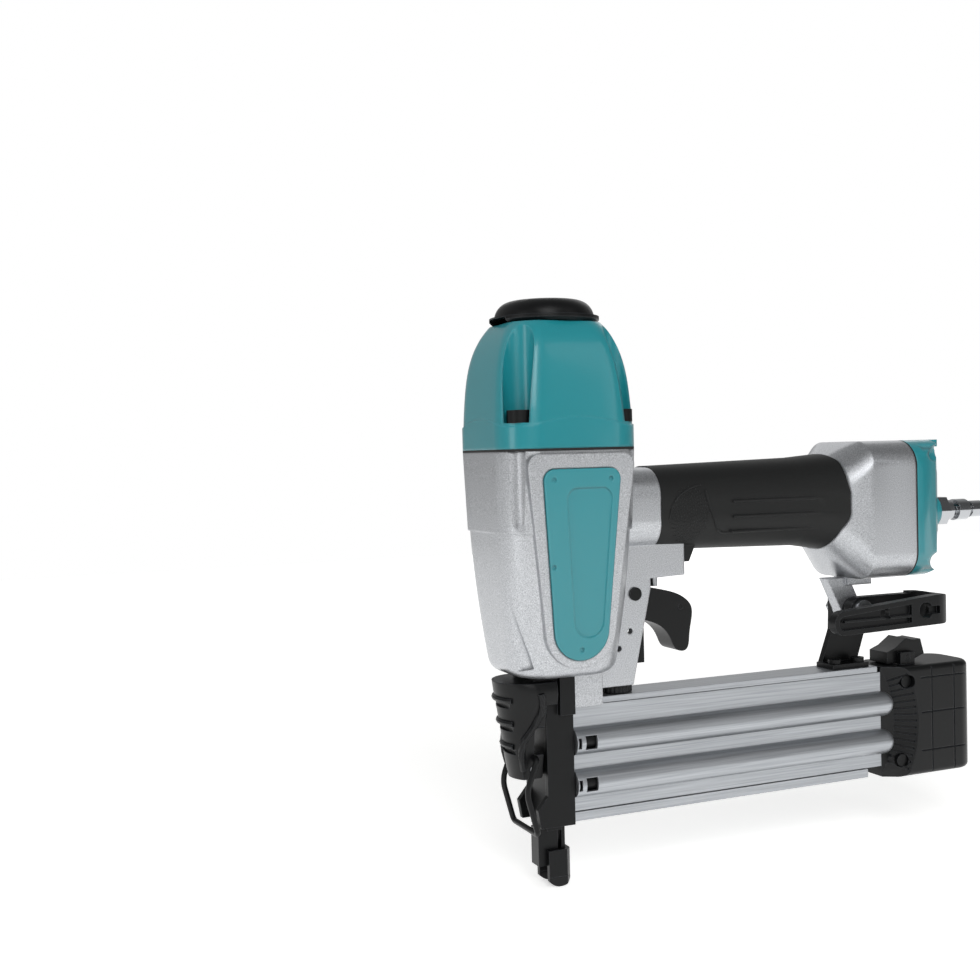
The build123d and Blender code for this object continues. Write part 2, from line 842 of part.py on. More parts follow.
# Grip
def grip_form(grow=0.0):
    # The sleeve's outer form, whose rear edge bows towards the flare
    stations = [
        (grip_front, handle_z, grip_front_width, grip_front_height),
        (grip_waist_x, handle_z, grip_waist_width, grip_waist_height),
        (grip_rear + 1, handle_z - 1, grip_rear_width, grip_rear_height),
    ]
    sections = []
    for x, z, width, height in stations:
        corner = grip_roundness * width + grow
        sections.append(cross_section(x, z, width + 2 * grow, height + 2 * grow, corner))
    bow_x = grip_rear - grip_bow_radius
    bow_z = handle_z - 2
    keep = cross_pin(grip_bow_radius + grow, -40, 40, bow_x, bow_z)
    keep += block(0, bow_x, -40, 40, bow_z - grip_bow_radius - grow, bow_z + grip_bow_radius + grow)
    return loft(sections, ruled=True) & keep


def grip_flank(level):
    # How far out the grip's rounded flank lies at a level above or below its middle
    corner = grip_roundness * grip_waist_width
    flat = grip_waist_height / 2 - corner
    beyond = max(0.0, abs(level) - flat)
    return grip_waist_width / 2 - corner + sqrt(corner**2 - beyond**2)


def grip_ribs():
    # Three fine lines moulded along each flank
    ribs = []
    for side in (-1, 1):
        for level in grip_rib_levels:
            face = side * (grip_flank(level) - grip_rib_radius / 4)
            ribs.append(long_pin(grip_rib_radius, grip_rib_front, grip_rib_rear, face, handle_z + level))
    return ribs


def grip_sleeve():
    sleeve = grip_form()
    tongue = outline([
        (boss_rear + snug, handle_z - 12),
        (boss_rear + snug, boss_bottom + 6),
        (boss_rear + 3, boss_bottom + 6),
        (boss_rear + 8, handle_z - 12),
    ])
    sleeve += side_prism(tongue, -neck_half_width + 1, neck_half_width - 1)
    for rib in grip_ribs():
        sleeve += rib
    sleeve -= handle_core(snug)
    return sleeve - neck_form()


# End cap and air plug
def end_cap_plan():
    # Straight beside the joint, then drawn in towards the air plug
    half = flare_width / 2
    depth = end_cap_rear - end_cap_front
    plan = outline([
        (end_cap_front, -half),
        (end_cap_front + depth * 0.14, -half),
        (end_cap_front + depth * 0.62, -half * 0.76),
        (end_cap_rear, -half * 0.36),
        (end_cap_rear, half * 0.36),
        (end_cap_front + depth * 0.62, half * 0.76),
        (end_cap_front + depth * 0.14, half),
        (end_cap_front, half),
    ])
    return fillet(plan.vertices().filter_by(lambda vertex: vertex.X > end_cap_front + 1), 3.0)


def end_cap():
    low = flare_z - flare_height / 2
    high = flare_z + flare_height / 2
    block_form = extrude(cross_section(end_cap_front, flare_z, flare_width, flare_height, flare_corner),
                         amount=end_cap_rear - end_cap_front)
    rear = end_cap_rear
    profile = outline([
        (end_cap_front, low),
        (rear - 15, low),
        (rear - 10, low + 5),
        (rear - 9.5, low + 10),
        (rear - 5.5, low + 11.5),
        (rear - 4.5, low + 18),
        (rear, low + 20),
        (rear, high - 16),
        (rear - 4, high - 13.5),
        (rear - 6, high - 5),
        (rear - 10, high),
        (end_cap_front, high),
    ])
    form = block_form & side_prism(profile, -flare_width, flare_width)
    form = form & extrude(Pos(0, 0, low - 1) * end_cap_plan(), amount=flare_height + 2)
    form += long_pin(plug_boss_radius, rear - 8, plug_boss_rear, 0, plug_z)
    chamber = cross_section(end_cap_front - 1, flare_z, chamber_width, port_height, chamber_corner)
    form -= extrude(chamber, amount=end_cap_wall * 2)
    thread_front = plug_boss_rear - plug_thread_depth
    form -= long_pin(plug_thread_radius + snug, thread_front, plug_boss_rear + 1, 0, plug_z)
    form -= long_pin(plug_bore_radius, end_cap_front, plug_boss_rear, 0, plug_z)
    for y, z in end_screw_places:
        form -= long_pin(end_screw_radius + 0.2, end_cap_front - 1, rear + 1, y, z)
        form -= long_pin(end_screw_head_radius + 0.4, end_screw_seat, rear + 1, y, z)
    return form - button_box(0.4)


def button_box(grow):
    high = flare_z + flare_height / 2
    start = end_cap_front + 6
    return block(
        start - grow, start + button_length + grow, -button_width / 2 - grow, button_width / 2 + grow,
        high - button_thickness - 2 * button_travel - grow, high + 2
    )


def duster_button():
    high = flare_z + flare_height / 2
    start = end_cap_front + 6
    half = button_width / 2
    plate = block(start, start + button_length, -half, half, high - button_thickness, high)
    plate = fillet(plate.edges().filter_by(Axis.Z), 2.0)
    tip = start + button_length
    fin = outline([
        (tip - button_fin_length, high - 0.5),
        (tip - 0.4, high - 0.5),
        (tip - 0.4, high - 1.4),
        (tip - button_fin_length * 0.6, high - button_fin_drop),
        (tip - button_fin_length, high - button_fin_drop),
    ])
    plate += side_prism(fin, 2 - half, half - 2)
    return plate + post(2.5, high - button_thickness - button_travel, high, start + button_length / 3)


def end_gasket_sheet():
    face = cross_section(flare_rear, flare_z, flare_width, flare_height, flare_corner)
    hole = cross_section(flare_rear - 1, flare_z, chamber_width, port_height, chamber_corner)
    sheet = extrude(face, amount=end_gasket) - extrude(hole, amount=end_gasket + 2)
    for y, z in end_screw_places:
        sheet -= long_pin(end_screw_radius + 0.2, flare_rear - 1, end_cap_front + 1, y, z)
    return sheet


def end_cap_screws():
    depth = end_screw_seat - flare_rear + end_screw_depth
    screw = socket_screw(end_screw_radius, end_screw_head_radius, end_screw_head_height, 0, depth)
    return joined([Pos(end_screw_seat, y, z) * Rot(0, 90, 0) * screw for y, z in end_screw_places])


def air_plug():
    base = plug_boss_rear
    plane = Plane(origin=(base, 0, plug_z), x_dir=(0, 1, 0), z_dir=(1, 0, 0))
    plug = extrude(plane * RegularPolygon(plug_hex / 2, 6, False), amount=plug_hex_length)
    plug += long_pin(plug_thread_radius, base - plug_thread_depth, base, 0, plug_z)
    front = base + plug_hex_length
    nose = base + plug_length - plug_nose_length
    plug += long_pin(plug_nose_radius + 0.9, front, front + 4, 0, plug_z)
    plug += long_pin(plug_nose_radius - 0.8, front + 4, front + 7, 0, plug_z)
    plug += long_pin(plug_nose_radius + 1.1, front + 7, nose - 2.5, 0, plug_z)
    plug += long_pin(plug_nose_radius - 0.6, nose - 2.5, nose, 0, plug_z)
    plug += long_pin(plug_nose_radius, nose, base + plug_length, 0, plug_z)
    bore_front = base - plug_thread_depth - 1
    return plug - long_pin(plug_bore_radius, bore_front, base + plug_length + 1, 0, plug_z)


# Nose
def nose_guide():
    plate_top_z = head_bottom - guide_flange
    half = guide_half_width
    form = block(guide_gap, guide_back, -half, half, guide_low, plate_top_z)
    form += block(guide_flange_front, guide_back, -half, half, plate_top_z, head_bottom)
    ear = outline([
        (guide_gap, guide_low),
        (ear_front + 1.4, guide_low),
        (ear_front, guide_low + ear_height * 0.58),
        (guide_front, guide_low + ear_height),
        (guide_front, plate_top_z),
        (guide_gap, plate_top_z),
    ])
    inner = guide_half_width - guide_wall
    form += side_prism(ear, -guide_half_width, -inner)
    form += side_prism(ear, inner, guide_half_width)
    form += block(guide_gap, tongue_back, -tongue_half_width, tongue_half_width, tongue_low, guide_low)
    shoulder_low = latch_top - 14
    near = -guide_half_width
    form += block(-3.0, guide_back - 0.3, near - 2.8, near, shoulder_low, head_bottom - 1)
    form -= block(guide_gap - 1, guide_back + 1, -blade_thickness, blade_thickness, guide_low + 2, rail_top)
    form -= post(driver_hole_radius, plate_top_z - 1, head_bottom + 1)
    form -= cross_pin(door_pin_radius + snug, -30, 30, door_pin_x, door_pin_z)
    for x, y in nose_screw_places:
        form -= post(nose_screw_radius + 0.2, plate_top_z - 1, head_bottom + 1, x, y)
    for z in rail_screw_levels:
        form -= long_pin(rail_screw_radius + 0.2, guide_gap - 1, guide_back + 1, rail_screw_y, z)
        form -= long_pin(rail_screw_radius + 1.5, guide_gap - 1, rail_screw_seat, rail_screw_y, z)
    return form


def nose_screws():
    seat = -(head_bottom - guide_flange)
    screw = socket_screw(nose_screw_radius, nose_screw_radius + 1.4, 2.0, seat, guide_flange + 2)
    return joined([Pos(x, y, 0) * Rot(180, 0, 0) * screw for x, y in nose_screw_places])


def nose_door():
    half = guide_half_width - guide_wall - slip
    eye_low = door_pin_z - door_eye_radius - 1.5
    plate = block(door_front, -guide_gap, -half, half, guide_low - 2, eye_low)
    plate += block(door_front, door_pin_x + door_eye_radius, -half, half, eye_low, door_pin_z)
    plate += cross_pin(door_eye_radius, -half, half, door_pin_x, door_pin_z)
    chin_half = door_chin_half_width
    plate += block(door_chin_front, -guide_gap, -chin_half, chin_half, door_low, guide_low - 2)
    lug = latch_lug_half_width
    plate += block(latch_pin_x, door_front, -lug, lug, latch_pin_z - 3.4, latch_pin_z + 3.4)
    plate += cross_pin(3.4, -lug, lug, latch_pin_x, latch_pin_z)
    plate -= cross_pin(door_pin_radius + running, -30, 30, door_pin_x, door_pin_z)
    return plate - cross_pin(latch_pin_radius + snug, -30, 30, latch_pin_x, latch_pin_z)


def door_pin():
    return cross_pin(door_pin_radius, -guide_half_width, guide_half_width, door_pin_x, door_pin_z)


def latch_pin():
    reach = latch_low_half_width
    return cross_pin(latch_pin_radius, -reach, reach, latch_pin_x, latch_pin_z)


def latch_section(z, half, front, shoulder, rear):
    # A flat-sided section whose front is one arc
    near = Line((rear, -half), (shoulder, -half))
    bow = ThreePointArc((shoulder, -half), (front, 0), (shoulder, half))
    far = Line((shoulder, half), (rear, half))
    back = Line((rear, half), (rear, -half))
    return Pos(0, 0, z) * make_face([near, bow, far, back])


def latch_face(z):
    # Where the lever's leaning front lies at a level
    return latch_front + latch_lean * (latch_top - z)


def latch_shell(inset):
    # The thumb lever's outer form, or the hollow behind it when inset
    low = latch_pin_z - latch_eye_radius
    stations = [
        (low, latch_low_half_width - 1, latch_pin_x - 3.9),
        (low + 6, latch_low_half_width, latch_pin_x - 5.0),
        (low + 14, latch_low_half_width + 1.2, latch_pin_x - 4.8),
        (latch_top - 16, latch_half_width - 2.2, latch_pin_x - 3.0),
        (latch_top - 9, latch_half_width, latch_pin_x - 1.0),
        (latch_top, latch_half_width, latch_pin_x - 1.0),
    ]
    rear = latch_rear + inset * 3
    sections = []
    for z, half, shoulder in stations:
        sections.append(latch_section(z, half - inset, latch_face(z) + inset, shoulder + inset * 0.6, rear))
    return loft(sections)


def latch_lever():
    form = latch_shell(0.0)
    hollow = latch_shell(latch_wall) & block(-40, 10, -40, 40, latch_pin_z + 6, latch_top - latch_wall)
    form -= hollow
    lug = latch_lug_half_width + slip
    lug_front_x = latch_pin_x - latch_eye_radius - 2 * slip
    form -= block(lug_front_x, 10, -lug, lug, latch_pin_z - 8, latch_pin_z + 6)
    swing = door_front - latch_pin_x - slip
    below = block(latch_pin_x, 10, -40, 40, latch_pin_z - 10, latch_pin_z)
    form -= below - cross_pin(swing, -40, 40, latch_pin_x, latch_pin_z)
    inner = guide_half_width + slip
    hollow_front = guide_flange_front - slip
    form -= block(hollow_front, 10, -inner, inner, latch_pin_z + 6, latch_top + 1)
    form -= block(guide_front - 1, 10, -40, 40, latch_pin_z - 10, latch_top - 9)
    for rib in range(latch_ribs):
        z = latch_top - latch_rib_drop - rib * latch_rib_pitch
        half = latch_half_width - 4 - rib * 1.6
        form -= block(latch_front - 1, latch_face(z) + latch_rib_depth, -half, half, z - 1, z + 1)
    form -= cross_pin(latch_pin_radius + running, -30, 30, latch_pin_x, latch_pin_z)
    return form - cross_pin(wire_radius + running, -30, 30, latch_pin_x, wire_pivot_z)


def latch_wire():
    bar_x = ear_front - wire_radius - slip
    inner = latch_lug_half_width + slip + 1
    points = [
        (latch_pin_x, -inner, wire_pivot_z),
        (latch_pin_x, -wire_offset, wire_pivot_z),
        (latch_pin_x - wire_bulge, -wire_offset, wire_pivot_z - 13),
        (bar_x + 0.6, -wire_offset, wire_bar_z),
        (bar_x + 0.6, wire_offset, wire_bar_z),
        (latch_pin_x - wire_bulge, wire_offset, wire_pivot_z - 13),
        (latch_pin_x, wire_offset, wire_pivot_z),
        (latch_pin_x, inner, wire_pivot_z),
    ]
    bends = [2.0, 12.0, 2.0, 2.0, 12.0, 2.0]
    path = FilletPolyline(*points, radius=bends)
    return sweep(Plane(origin=path @ 0, z_dir=path % 0) * Circle(wire_radius), path=path)


# Contact arm and depth wheel
def foot_plan(low, high):
    inner = tongue_half_width + 0.4
    half = foot_half_width
    cut = foot_wall * 1.3
    plan = outline([
        (foot_front, -half),
        (foot_rear - cut, -half),
        (foot_rear, -half + cut),
        (foot_rear, half - cut),
        (foot_rear - cut, half),
        (foot_front, half),
    ])
    form = extrude(Pos(0, 0, low) * plan, amount=high - low)
    return form - block(foot_front - 1, foot_rear - foot_wall, -inner, inner, low - 1, high + 1)


def contact_foot():
    form = foot_plan(tip_height, foot_top)
    link_near = tongue_half_width + 0.4
    return form + block(arm_foot_front, arm_foot_rear, link_near, arm_outer_y, foot_top - 2.6, foot_top)


def contact_tip():
    # Rounded underneath, so that the tool can be tipped on the work
    middle = (foot_front + foot_rear) / 2
    below = block(middle - 30, middle + 30, -30, 30, -1, tip_height * 0.6)
    below -= cross_pin(tip_rounding, -40, 40, middle, tip_rounding)
    return foot_plan(0, tip_height) - below


def contact_arm():
    rear = contact_block_rear
    strip = outline([
        (arm_foot_front, foot_top),
        (arm_foot_rear, foot_top),
        (arm_foot_rear, guide_low + 4),
        (arm_rear, guide_low + 18),
        (arm_rear, neck_bottom - 8),
        (neck_rear_low + 3, neck_bottom - 1),
        (rear, contact_block_bottom),
        (rear, contact_arm_seat),
        (rear - 7, contact_arm_seat),
        (neck_rear_low - 5, neck_bottom + 3),
        (arm_front, neck_bottom - 1),
        (arm_front, guide_low + 20),
        (arm_foot_front, guide_low + 6),
    ])
    form = side_prism(strip, arm_inner_y, arm_outer_y)
    half = contact_block_half_width
    form += block(rear - 3, rear, -half, arm_outer_y, contact_block_bottom, contact_arm_seat)
    finger = block(rear - contact_block_depth, rear, -half, half, contact_block_bottom, contact_block_top)
    return form + chamfer(finger.edges().filter_by(Axis.Y).group_by(Axis.Z)[-1], 1.0)


def contact_spring():
    place = Pos(contact_spring_x, arm_inner_y + arm_thickness / 2, contact_arm_seat)
    room = spring_lug_z - contact_arm_seat - 0.1
    return place * coil(contact_spring_radius, contact_spring_wire, 5, room)


def depth_wheel():
    low = neck_bottom - slip - wheel_height
    wheel = post(wheel_radius, low, low + wheel_height, wheel_x)
    for rib in range(wheel_ribs):
        angle = 2 * pi * rib / wheel_ribs
        x = wheel_x + (wheel_radius + 0.2) * cos(angle)
        y = (wheel_radius + 0.2) * sin(angle)
        wheel -= post(0.55, low - 1, low + wheel_height + 1, x, y)
    return wheel - post(stud_radius + snug, low - 1, low + wheel_height + 1, wheel_x)


def depth_stud():
    low = neck_bottom - 2.2
    return post(stud_radius, low, low + stud_length, wheel_x)


# Magazine
def section_run(profile, x_low, x_high):
    plane = Plane(origin=(x_low, 0, 0), x_dir=(0, 1, 0), z_dir=(1, 0, 0))
    return extrude(plane * profile, amount=x_high - x_low)


def frame_rect(y_low, y_high, z_low, z_high):
    return Pos((y_low + y_high) / 2, (z_low + z_high) / 2) * Rectangle(y_high - y_low, z_high - z_low)


def magazine_rail():
    back = guide_gap
    section = frame_rect(back, rail_back, rail_bottom, rail_top)
    section += frame_rect(rail_front_y, back, rail_top - rail_top_lip, rail_top)
    section += frame_rect(rail_front_y, back, rail_bottom, rail_bottom + rail_bottom_lip)
    hollow_low = rail_bottom + rail_bottom_lip + rail_wall
    hollow_high = rail_top - rail_top_lip - rail_wall
    section -= frame_rect(back + rail_inner_wall, rail_back - rail_wall, hollow_low, hollow_high)
    rail = section_run(section, rail_start, rail_end)
    lip_high = rail_bottom + rail_bottom_lip + slip
    rail -= block(rail_end - 6, rail_end + 1, -20, 20, rail_bottom - 1, lip_high)
    for x in hanger_screw_places:
        lip_low = rail_top - rail_top_lip - 1
        rail -= post(hanger_screw_radius + snug, lip_low, rail_top + 1, x, hanger_screw_y)
    for z in rail_screw_levels:
        rail -= long_pin(rail_screw_radius + snug, rail_start - 1, rail_start + 8, rail_screw_y, z)
    return rail


def magazine_slide():
    inner = -guide_gap - slip
    section = frame_rect(slide_face, slide_face + slide_wall, slide_low, slide_high)
    section += frame_rect(slide_face, inner, slide_low, slide_low + slide_wall)
    section += frame_rect(slide_face, inner, slide_high - slide_wall, slide_high)
    for z in rib_levels:
        section += Pos(slide_face, z) * Circle(rib_radius)
    for z in rib_levels:
        section -= Pos(slide_face, z) * Circle(rib_radius - rib_wall)
        section -= frame_rect(slide_face + slide_wall, slide_face + 20, z - rib_radius, z + rib_radius)
    slide = section_run(section, rail_start + slip, slide_end)
    openings = [
        (window_x, window_length, window_height / 2),
        (window_slot_x, window_slot_length, window_slot_height / 2),
    ]
    near = slide_face - rib_radius
    for z in rib_levels:
        low = z - rib_radius
        dome = Pos(slide_end, slide_face, z) * Sphere(rib_radius)
        slide += dome & block(slide_end, slide_end + rib_radius, near, slide_face, low, z + rib_radius)
        for x, length, half in openings:
            slide -= block(x, x + length, near - 1, near + rib_radius / 2, z - half, z + half)
        front = rail_start + 2 * slip
        end_wall = long_pin(rib_radius - rib_wall / 2, front, front + rib_end_wall, slide_face, z)
        wall_middle = slide_face + slide_wall / 2
        slide += end_wall & block(front, front + rib_end_wall, near, wall_middle, low, z + rib_radius)
    return slide


def pusher():
    start = rail_start + 1
    low = rib_low_z - rib_radius
    high = rib_high_z + rib_radius
    face = slide_face + slide_wall + slip
    body = block(start, start + pusher_length, face, -guide_gap - 2 * slip, low, high)
    body += block(start, start + pusher_length, -guide_gap - 2 * slip, guide_gap - slip, low + 2, high)
    for z in rib_levels:
        body += long_pin(pusher_guide_radius, start + 3, start + pusher_length, slide_face, z)
        body += block(start + 3, start + pusher_length, slide_face, face, z - 2.5, z + 2.5)
    return body


def pusher_springs():
    low = rail_start + 1 + pusher_length
    spring = coil(feed_spring_radius, spring_wire, feed_spring_turns, slide_end - low)
    return joined([Pos(low, slide_face, z) * Rot(0, 90, 0) * spring for z in rib_levels])


def cap_scoop(sink=0.0):
    # The cone that scoops the cap's near front edge, about an axis across the tool
    half = mag_cap_half_width
    depth = half + slide_face
    centre_z = (mag_cap_top + mag_cap_bottom) / 2
    plane = Plane(origin=(scoop_x, -half + depth + sink, centre_z), x_dir=(1, 0, 0), z_dir=(0, -1, 0))
    slope = (scoop_radius - scoop_low_radius) / depth
    reach = depth + 2
    return plane * cone_on_base(scoop_low_radius, scoop_low_radius + slope * reach, reach)


def scoop_grooves():
    half = mag_cap_half_width
    centre_z = (mag_cap_top + mag_cap_bottom) / 2
    bars = []
    for groove in range(scoop_ribs):
        turn = scoop_rib_turn * (groove - (scoop_ribs - 1) / 2)
        thin = scoop_groove / 2
        bar = block(scoop_low_radius - 2, scoop_radius - 0.8, -half - 1, slide_face, -thin, thin)
        bars.append(Pos(scoop_x, 0, centre_z) * Rot(0, turn, 0) * bar)
    deeper = cap_scoop(scoop_groove_depth)
    return [bar & deeper for bar in bars]


def magazine_end_cap():
    start = slide_end
    half = mag_cap_half_width
    body = block(start, mag_cap_rear, -half, half, mag_cap_bottom, mag_cap_top)
    body = fillet(body.edges().filter_by(Axis.Z).group_by(Axis.X)[-1], mag_cap_rounding)
    body = fillet(body.edges().group_by(Axis.X)[-1], 2.5)
    form = body - cap_scoop()
    form -= scoop_grooves()
    form -= block(start - 1, start + 8, half - 3.5, half + 1, mag_cap_bottom - 1, mag_cap_top + 1)
    for x in cap_line_places:
        form -= block(x, x + cap_line, -half - 1, -half + cap_line, mag_cap_bottom - 1, mag_cap_top + 1)
    line_front = cap_line_places[0] - 6
    for z in cap_line_levels:
        form -= block(line_front, mag_cap_rear - 4, -half - 1, -half + cap_line, z, z + cap_line)
    form -= block(start + mag_cap_wall * 4, mag_cap_rear - mag_cap_wall, -half + 7, half - 5,
                  mag_cap_bottom + 6, mag_cap_top - 8)
    spigot_low = slide_low + slide_wall + slip
    spigot_high = slide_high - slide_wall - slip
    spigot_near = slide_face + feed_spring_radius + 2 * spring_wire
    spigot_far = -guide_gap - 2 * slip
    form += block(start - mag_cap_spigot, start, spigot_near, spigot_far, spigot_low, spigot_high)
    ear = mag_latch_half_width + slip
    ear_top = mag_latch_pin_z + 2.5
    for side in (-1, 1):
        y_low = min(side * ear, side * (ear + 2.5))
        ear_front_x = mag_latch_pin_x - 4
        form += block(ear_front_x, ear_front_x + 8, y_low, y_low + 2.5, mag_cap_top - 1, ear_top)
    form -= cross_pin(mag_latch_pin_radius + snug, -30, 30, mag_latch_pin_x, mag_latch_pin_z)
    for x, z in mag_bolt_places:
        form -= cross_pin(mag_bolt_radius + snug, -half - 1, half - 6, x, z)
        form -= cross_pin(mag_bolt_radius + 1.6, -half - 1, -half + 4.4, x, z)
    return form


def magazine_bolts():
    half = mag_cap_half_width
    bolts = []
    for x, z in mag_bolt_places:
        shaft = cross_pin(mag_bolt_radius, -half + 4.4, half - 6, x, z)
        bolts.append(shaft + cross_pin(mag_bolt_radius + 1.2, -half + 2.4, -half + 4.4, x, z))
    return joined(bolts)


def magazine_latch():
    pin_x = mag_latch_pin_x
    pin_z = mag_latch_pin_z
    profile = outline([
        (mag_latch_front, mag_cap_top + 0.6),
        (pin_x - 4, mag_cap_top + 0.6),
        (pin_x + 4, mag_cap_top + 1.0),
        (pin_x + 12, pin_z + 0.6),
        (pin_x + 10, pin_z + 7.6),
        (pin_x + 2.5, pin_z + 9.0),
        (pin_x - 4.5, pin_z + 4.4),
        (mag_latch_front, pin_z + 2.6),
    ])
    lever = side_prism(profile, -mag_latch_half_width, mag_latch_half_width)
    lever -= cross_pin(mag_latch_saddle, -30, 30, pin_x + 7, pin_z + mag_latch_saddle + 7.4)
    return lever - cross_pin(mag_latch_pin_radius + running, -30, 30, pin_x, pin_z)


def magazine_latch_pin():
    reach = mag_latch_half_width + slip + 2.5
    return cross_pin(mag_latch_pin_radius, -reach, reach, mag_latch_pin_x, mag_latch_pin_z)


def rail_screws():
    depth = rail_start - rail_screw_seat + 7
    screw = Rot(0, -90, 0) * socket_screw(rail_screw_radius, rail_screw_radius + 1.3, 1.8, 0, depth)
    return joined([Pos(rail_screw_seat, rail_screw_y, z) * screw for z in rail_screw_levels])


# Hanger and belt hook
def hanger_arm():
    low = rail_top
    y_low = lug_half_width
    profile = outline([
        (hook_bolt_x - lug_eye_radius, hook_bolt_z - 2),
        (hook_bolt_x - lug_eye_radius, hook_bolt_z + 5),
        (hook_bolt_x + lug_eye_radius, hook_bolt_z + 5),
        (hanger_rear + 6, low + 17),
        (hanger_rear, low),
        (hanger_front, low),
        (hanger_front + 6.5, low + 17),
    ])
    form = side_prism(profile, y_low, y_low + arm_width)
    form += block(hanger_front, hanger_rear, -6, y_low + arm_width, low, low + hanger_foot)
    form -= cross_pin(hook_bolt_radius + snug, -30, 30, hook_bolt_x, hook_bolt_z)
    for x in hanger_screw_places:
        form -= post(hanger_screw_radius + 0.2, low - 1, low + hanger_foot + 1, x, hanger_screw_y)
    return form


def hanger_screws():
    seat = rail_top + hanger_foot
    depth = hanger_foot + rail_top_lip
    screw = socket_screw(hanger_screw_radius, hanger_screw_radius + 1.4, 2.0, seat, depth)
    return joined([Pos(x, hanger_screw_y, 0) * screw for x in hanger_screw_places])


def hook_near_limb(grow, y_low, y_high):
    # The free limb: a tapered bar that drops towards its round end
    end_z = hook_bolt_z - hook_end_drop
    rounds = [
        Pos(hook_free_x, end_z) * Circle(hook_end_radius + grow),
        Pos(hook_turn_x, hook_bolt_z) * Circle(hook_turn_radius + grow),
    ]
    return side_prism(make_hull([edge for circle in rounds for edge in circle.edges()]), y_low, y_high)


def belt_hook():
    half = hook_thickness / 2
    turn = (hook_back_y - hook_near_y) / 2
    middle_y = (hook_back_y + hook_near_y) / 2
    low = hook_bolt_z - hook_height / 2
    high = hook_bolt_z + hook_height / 2
    face = hook_near_y - half
    before_turn = block(hook_free_x - 20, hook_turn_x, -60, 20, low - 20, high + 20)
    rise = hook_turn_radius
    loop = post(turn + half, hook_bolt_z - rise, hook_bolt_z + rise, hook_turn_x, middle_y)
    loop -= post(turn - half, low - 2, high + 2, hook_turn_x, middle_y)
    tip_x = hook_turn_x + turn + half - rise
    rounded = cross_pin(rise, -60, 20, tip_x, hook_bolt_z)
    rounded += block(hook_turn_x - 1, tip_x, -60, 20, hook_bolt_z - rise, hook_bolt_z + rise)
    loop = loop & rounded
    near = hook_near_limb(0.0, face, hook_near_y + half) & before_turn
    back = block(hook_bolt_x, hook_turn_x, hook_back_y - half, hook_back_y + half, low, high)
    back += cross_pin(hook_height / 2, hook_back_y - half, hook_back_y + half, hook_bolt_x, hook_bolt_z)
    back += cross_pin(hook_bolt_radius + 2.5, hook_back_y, -lug_half_width, hook_bolt_x, hook_bolt_z)
    hook = near + (loop - before_turn) + back
    recess = hook_near_limb(-2.2, face - 1, face + 1.8)
    recess &= block(hook_free_x - 20, hook_hole_x - 8, -60, 20, low - 20, high + 20)
    recess -= block(hook_free_x, hook_hole_x, face - 2, hook_near_y, hook_bolt_z - 2.4, hook_bolt_z - 1.4)
    hook -= recess
    hook -= cross_pin(hook_hole_radius, face - 10, hook_near_y + 10, hook_hole_x, hook_bolt_z)
    key = hook_key_height / 2
    hook -= block(hook_hole_x, hook_hole_x + 8, face - 1, hook_near_y, hook_bolt_z - key, hook_bolt_z + key)
    return hook - cross_pin(hook_bolt_radius + snug, -30, 10, hook_bolt_x, hook_bolt_z)


def hook_bolt():
    head_seat = hook_back_y - hook_thickness / 2
    far = lug_half_width + arm_width
    bolt = cross_pin(hook_bolt_radius, head_seat, far + 4.5, hook_bolt_x, hook_bolt_z)
    bolt += cross_pin(hook_bolt_radius + 2, head_seat - 2.6, head_seat, hook_bolt_x, hook_bolt_z)
    plane = Plane(origin=(hook_bolt_x, far, hook_bolt_z), x_dir=(1, 0, 0), z_dir=(0, 1, 0))
    return bolt + extrude(plane * RegularPolygon(4.2, 6), amount=4.0)


builders = {
    "housing": housing,
    "cylinder": cylinder,
    "cylinder_seals": cylinder_seals,
    "piston": piston,
    "piston_ring": piston_ring,
    "driver_blade": driver_blade,
    "bumper": bumper,
    "cylinder_cap": cylinder_cap,
    "cap_gasket": cap_gasket,
    "cap_screws": cap_screws,
    "head_valve": head_valve,
    "head_valve_seal": head_valve_seal,
    "head_valve_spring": head_valve_spring,
    "exhaust_deflector": exhaust_deflector,
    "deflector_screw": deflector_screw,
    "side_plate": side_plate,
    "trigger": trigger,
    "trigger_pin": trigger_pin,
    "lever_pin": lever_pin,
    "trigger_lever": trigger_lever,
    "valve_body": valve_body,
    "valve_stem": valve_stem,
    "valve_spring": valve_spring,
    "grip_sleeve": grip_sleeve,
    "end_cap": end_cap,
    "duster_button": duster_button,
    "end_gasket": end_gasket_sheet,
    "end_cap_screws": end_cap_screws,
    "air_plug": air_plug,
    "nose_guide": nose_guide,
    "nose_screws": nose_screws,
    "nose_door": nose_door,
    "door_pin": door_pin,
    "latch_lever": latch_lever,
    "latch_pin": latch_pin,
    "latch_wire": latch_wire,
    "contact_foot": contact_foot,
    "contact_tip": contact_tip,
    "contact_arm": contact_arm,
    "contact_spring": contact_spring,
    "depth_wheel": depth_wheel,
    "depth_stud": depth_stud,
    "magazine_rail": magazine_rail,
    "rail_screws": rail_screws,
    "magazine_slide": magazine_slide,
    "pusher": pusher,
    "pusher_springs": pusher_springs,
    "magazine_end_cap": magazine_end_cap,
    "magazine_bolts": magazine_bolts,
    "magazine_latch": magazine_latch,
    "magazine_latch_pin": magazine_latch_pin,
    "hanger_arm": hanger_arm,
    "hanger_screws": hanger_screws,
    "belt_hook": belt_hook,
    "hook_bolt": hook_bolt,
}

os.makedirs("parts", exist_ok=True)
for name, build in builders.items():
    export_step(build(), f"parts/{name}.step")
    print("built", name)
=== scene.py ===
# %% [markdown]
# A pneumatic brad nailer: a cast head with a painted cap, a rubber grip, a black quick-release
# nose and an extruded magazine. The engineering model gives every piece its true shape and place,
# so this lesson loads it first and then dresses it: finishes, moulded detail, light and a camera.

# %% Load the engineering model
import json
import math

import bmesh
import bpy
from mathutils import Matrix, Vector
from mathutils.bvhtree import BVHTree


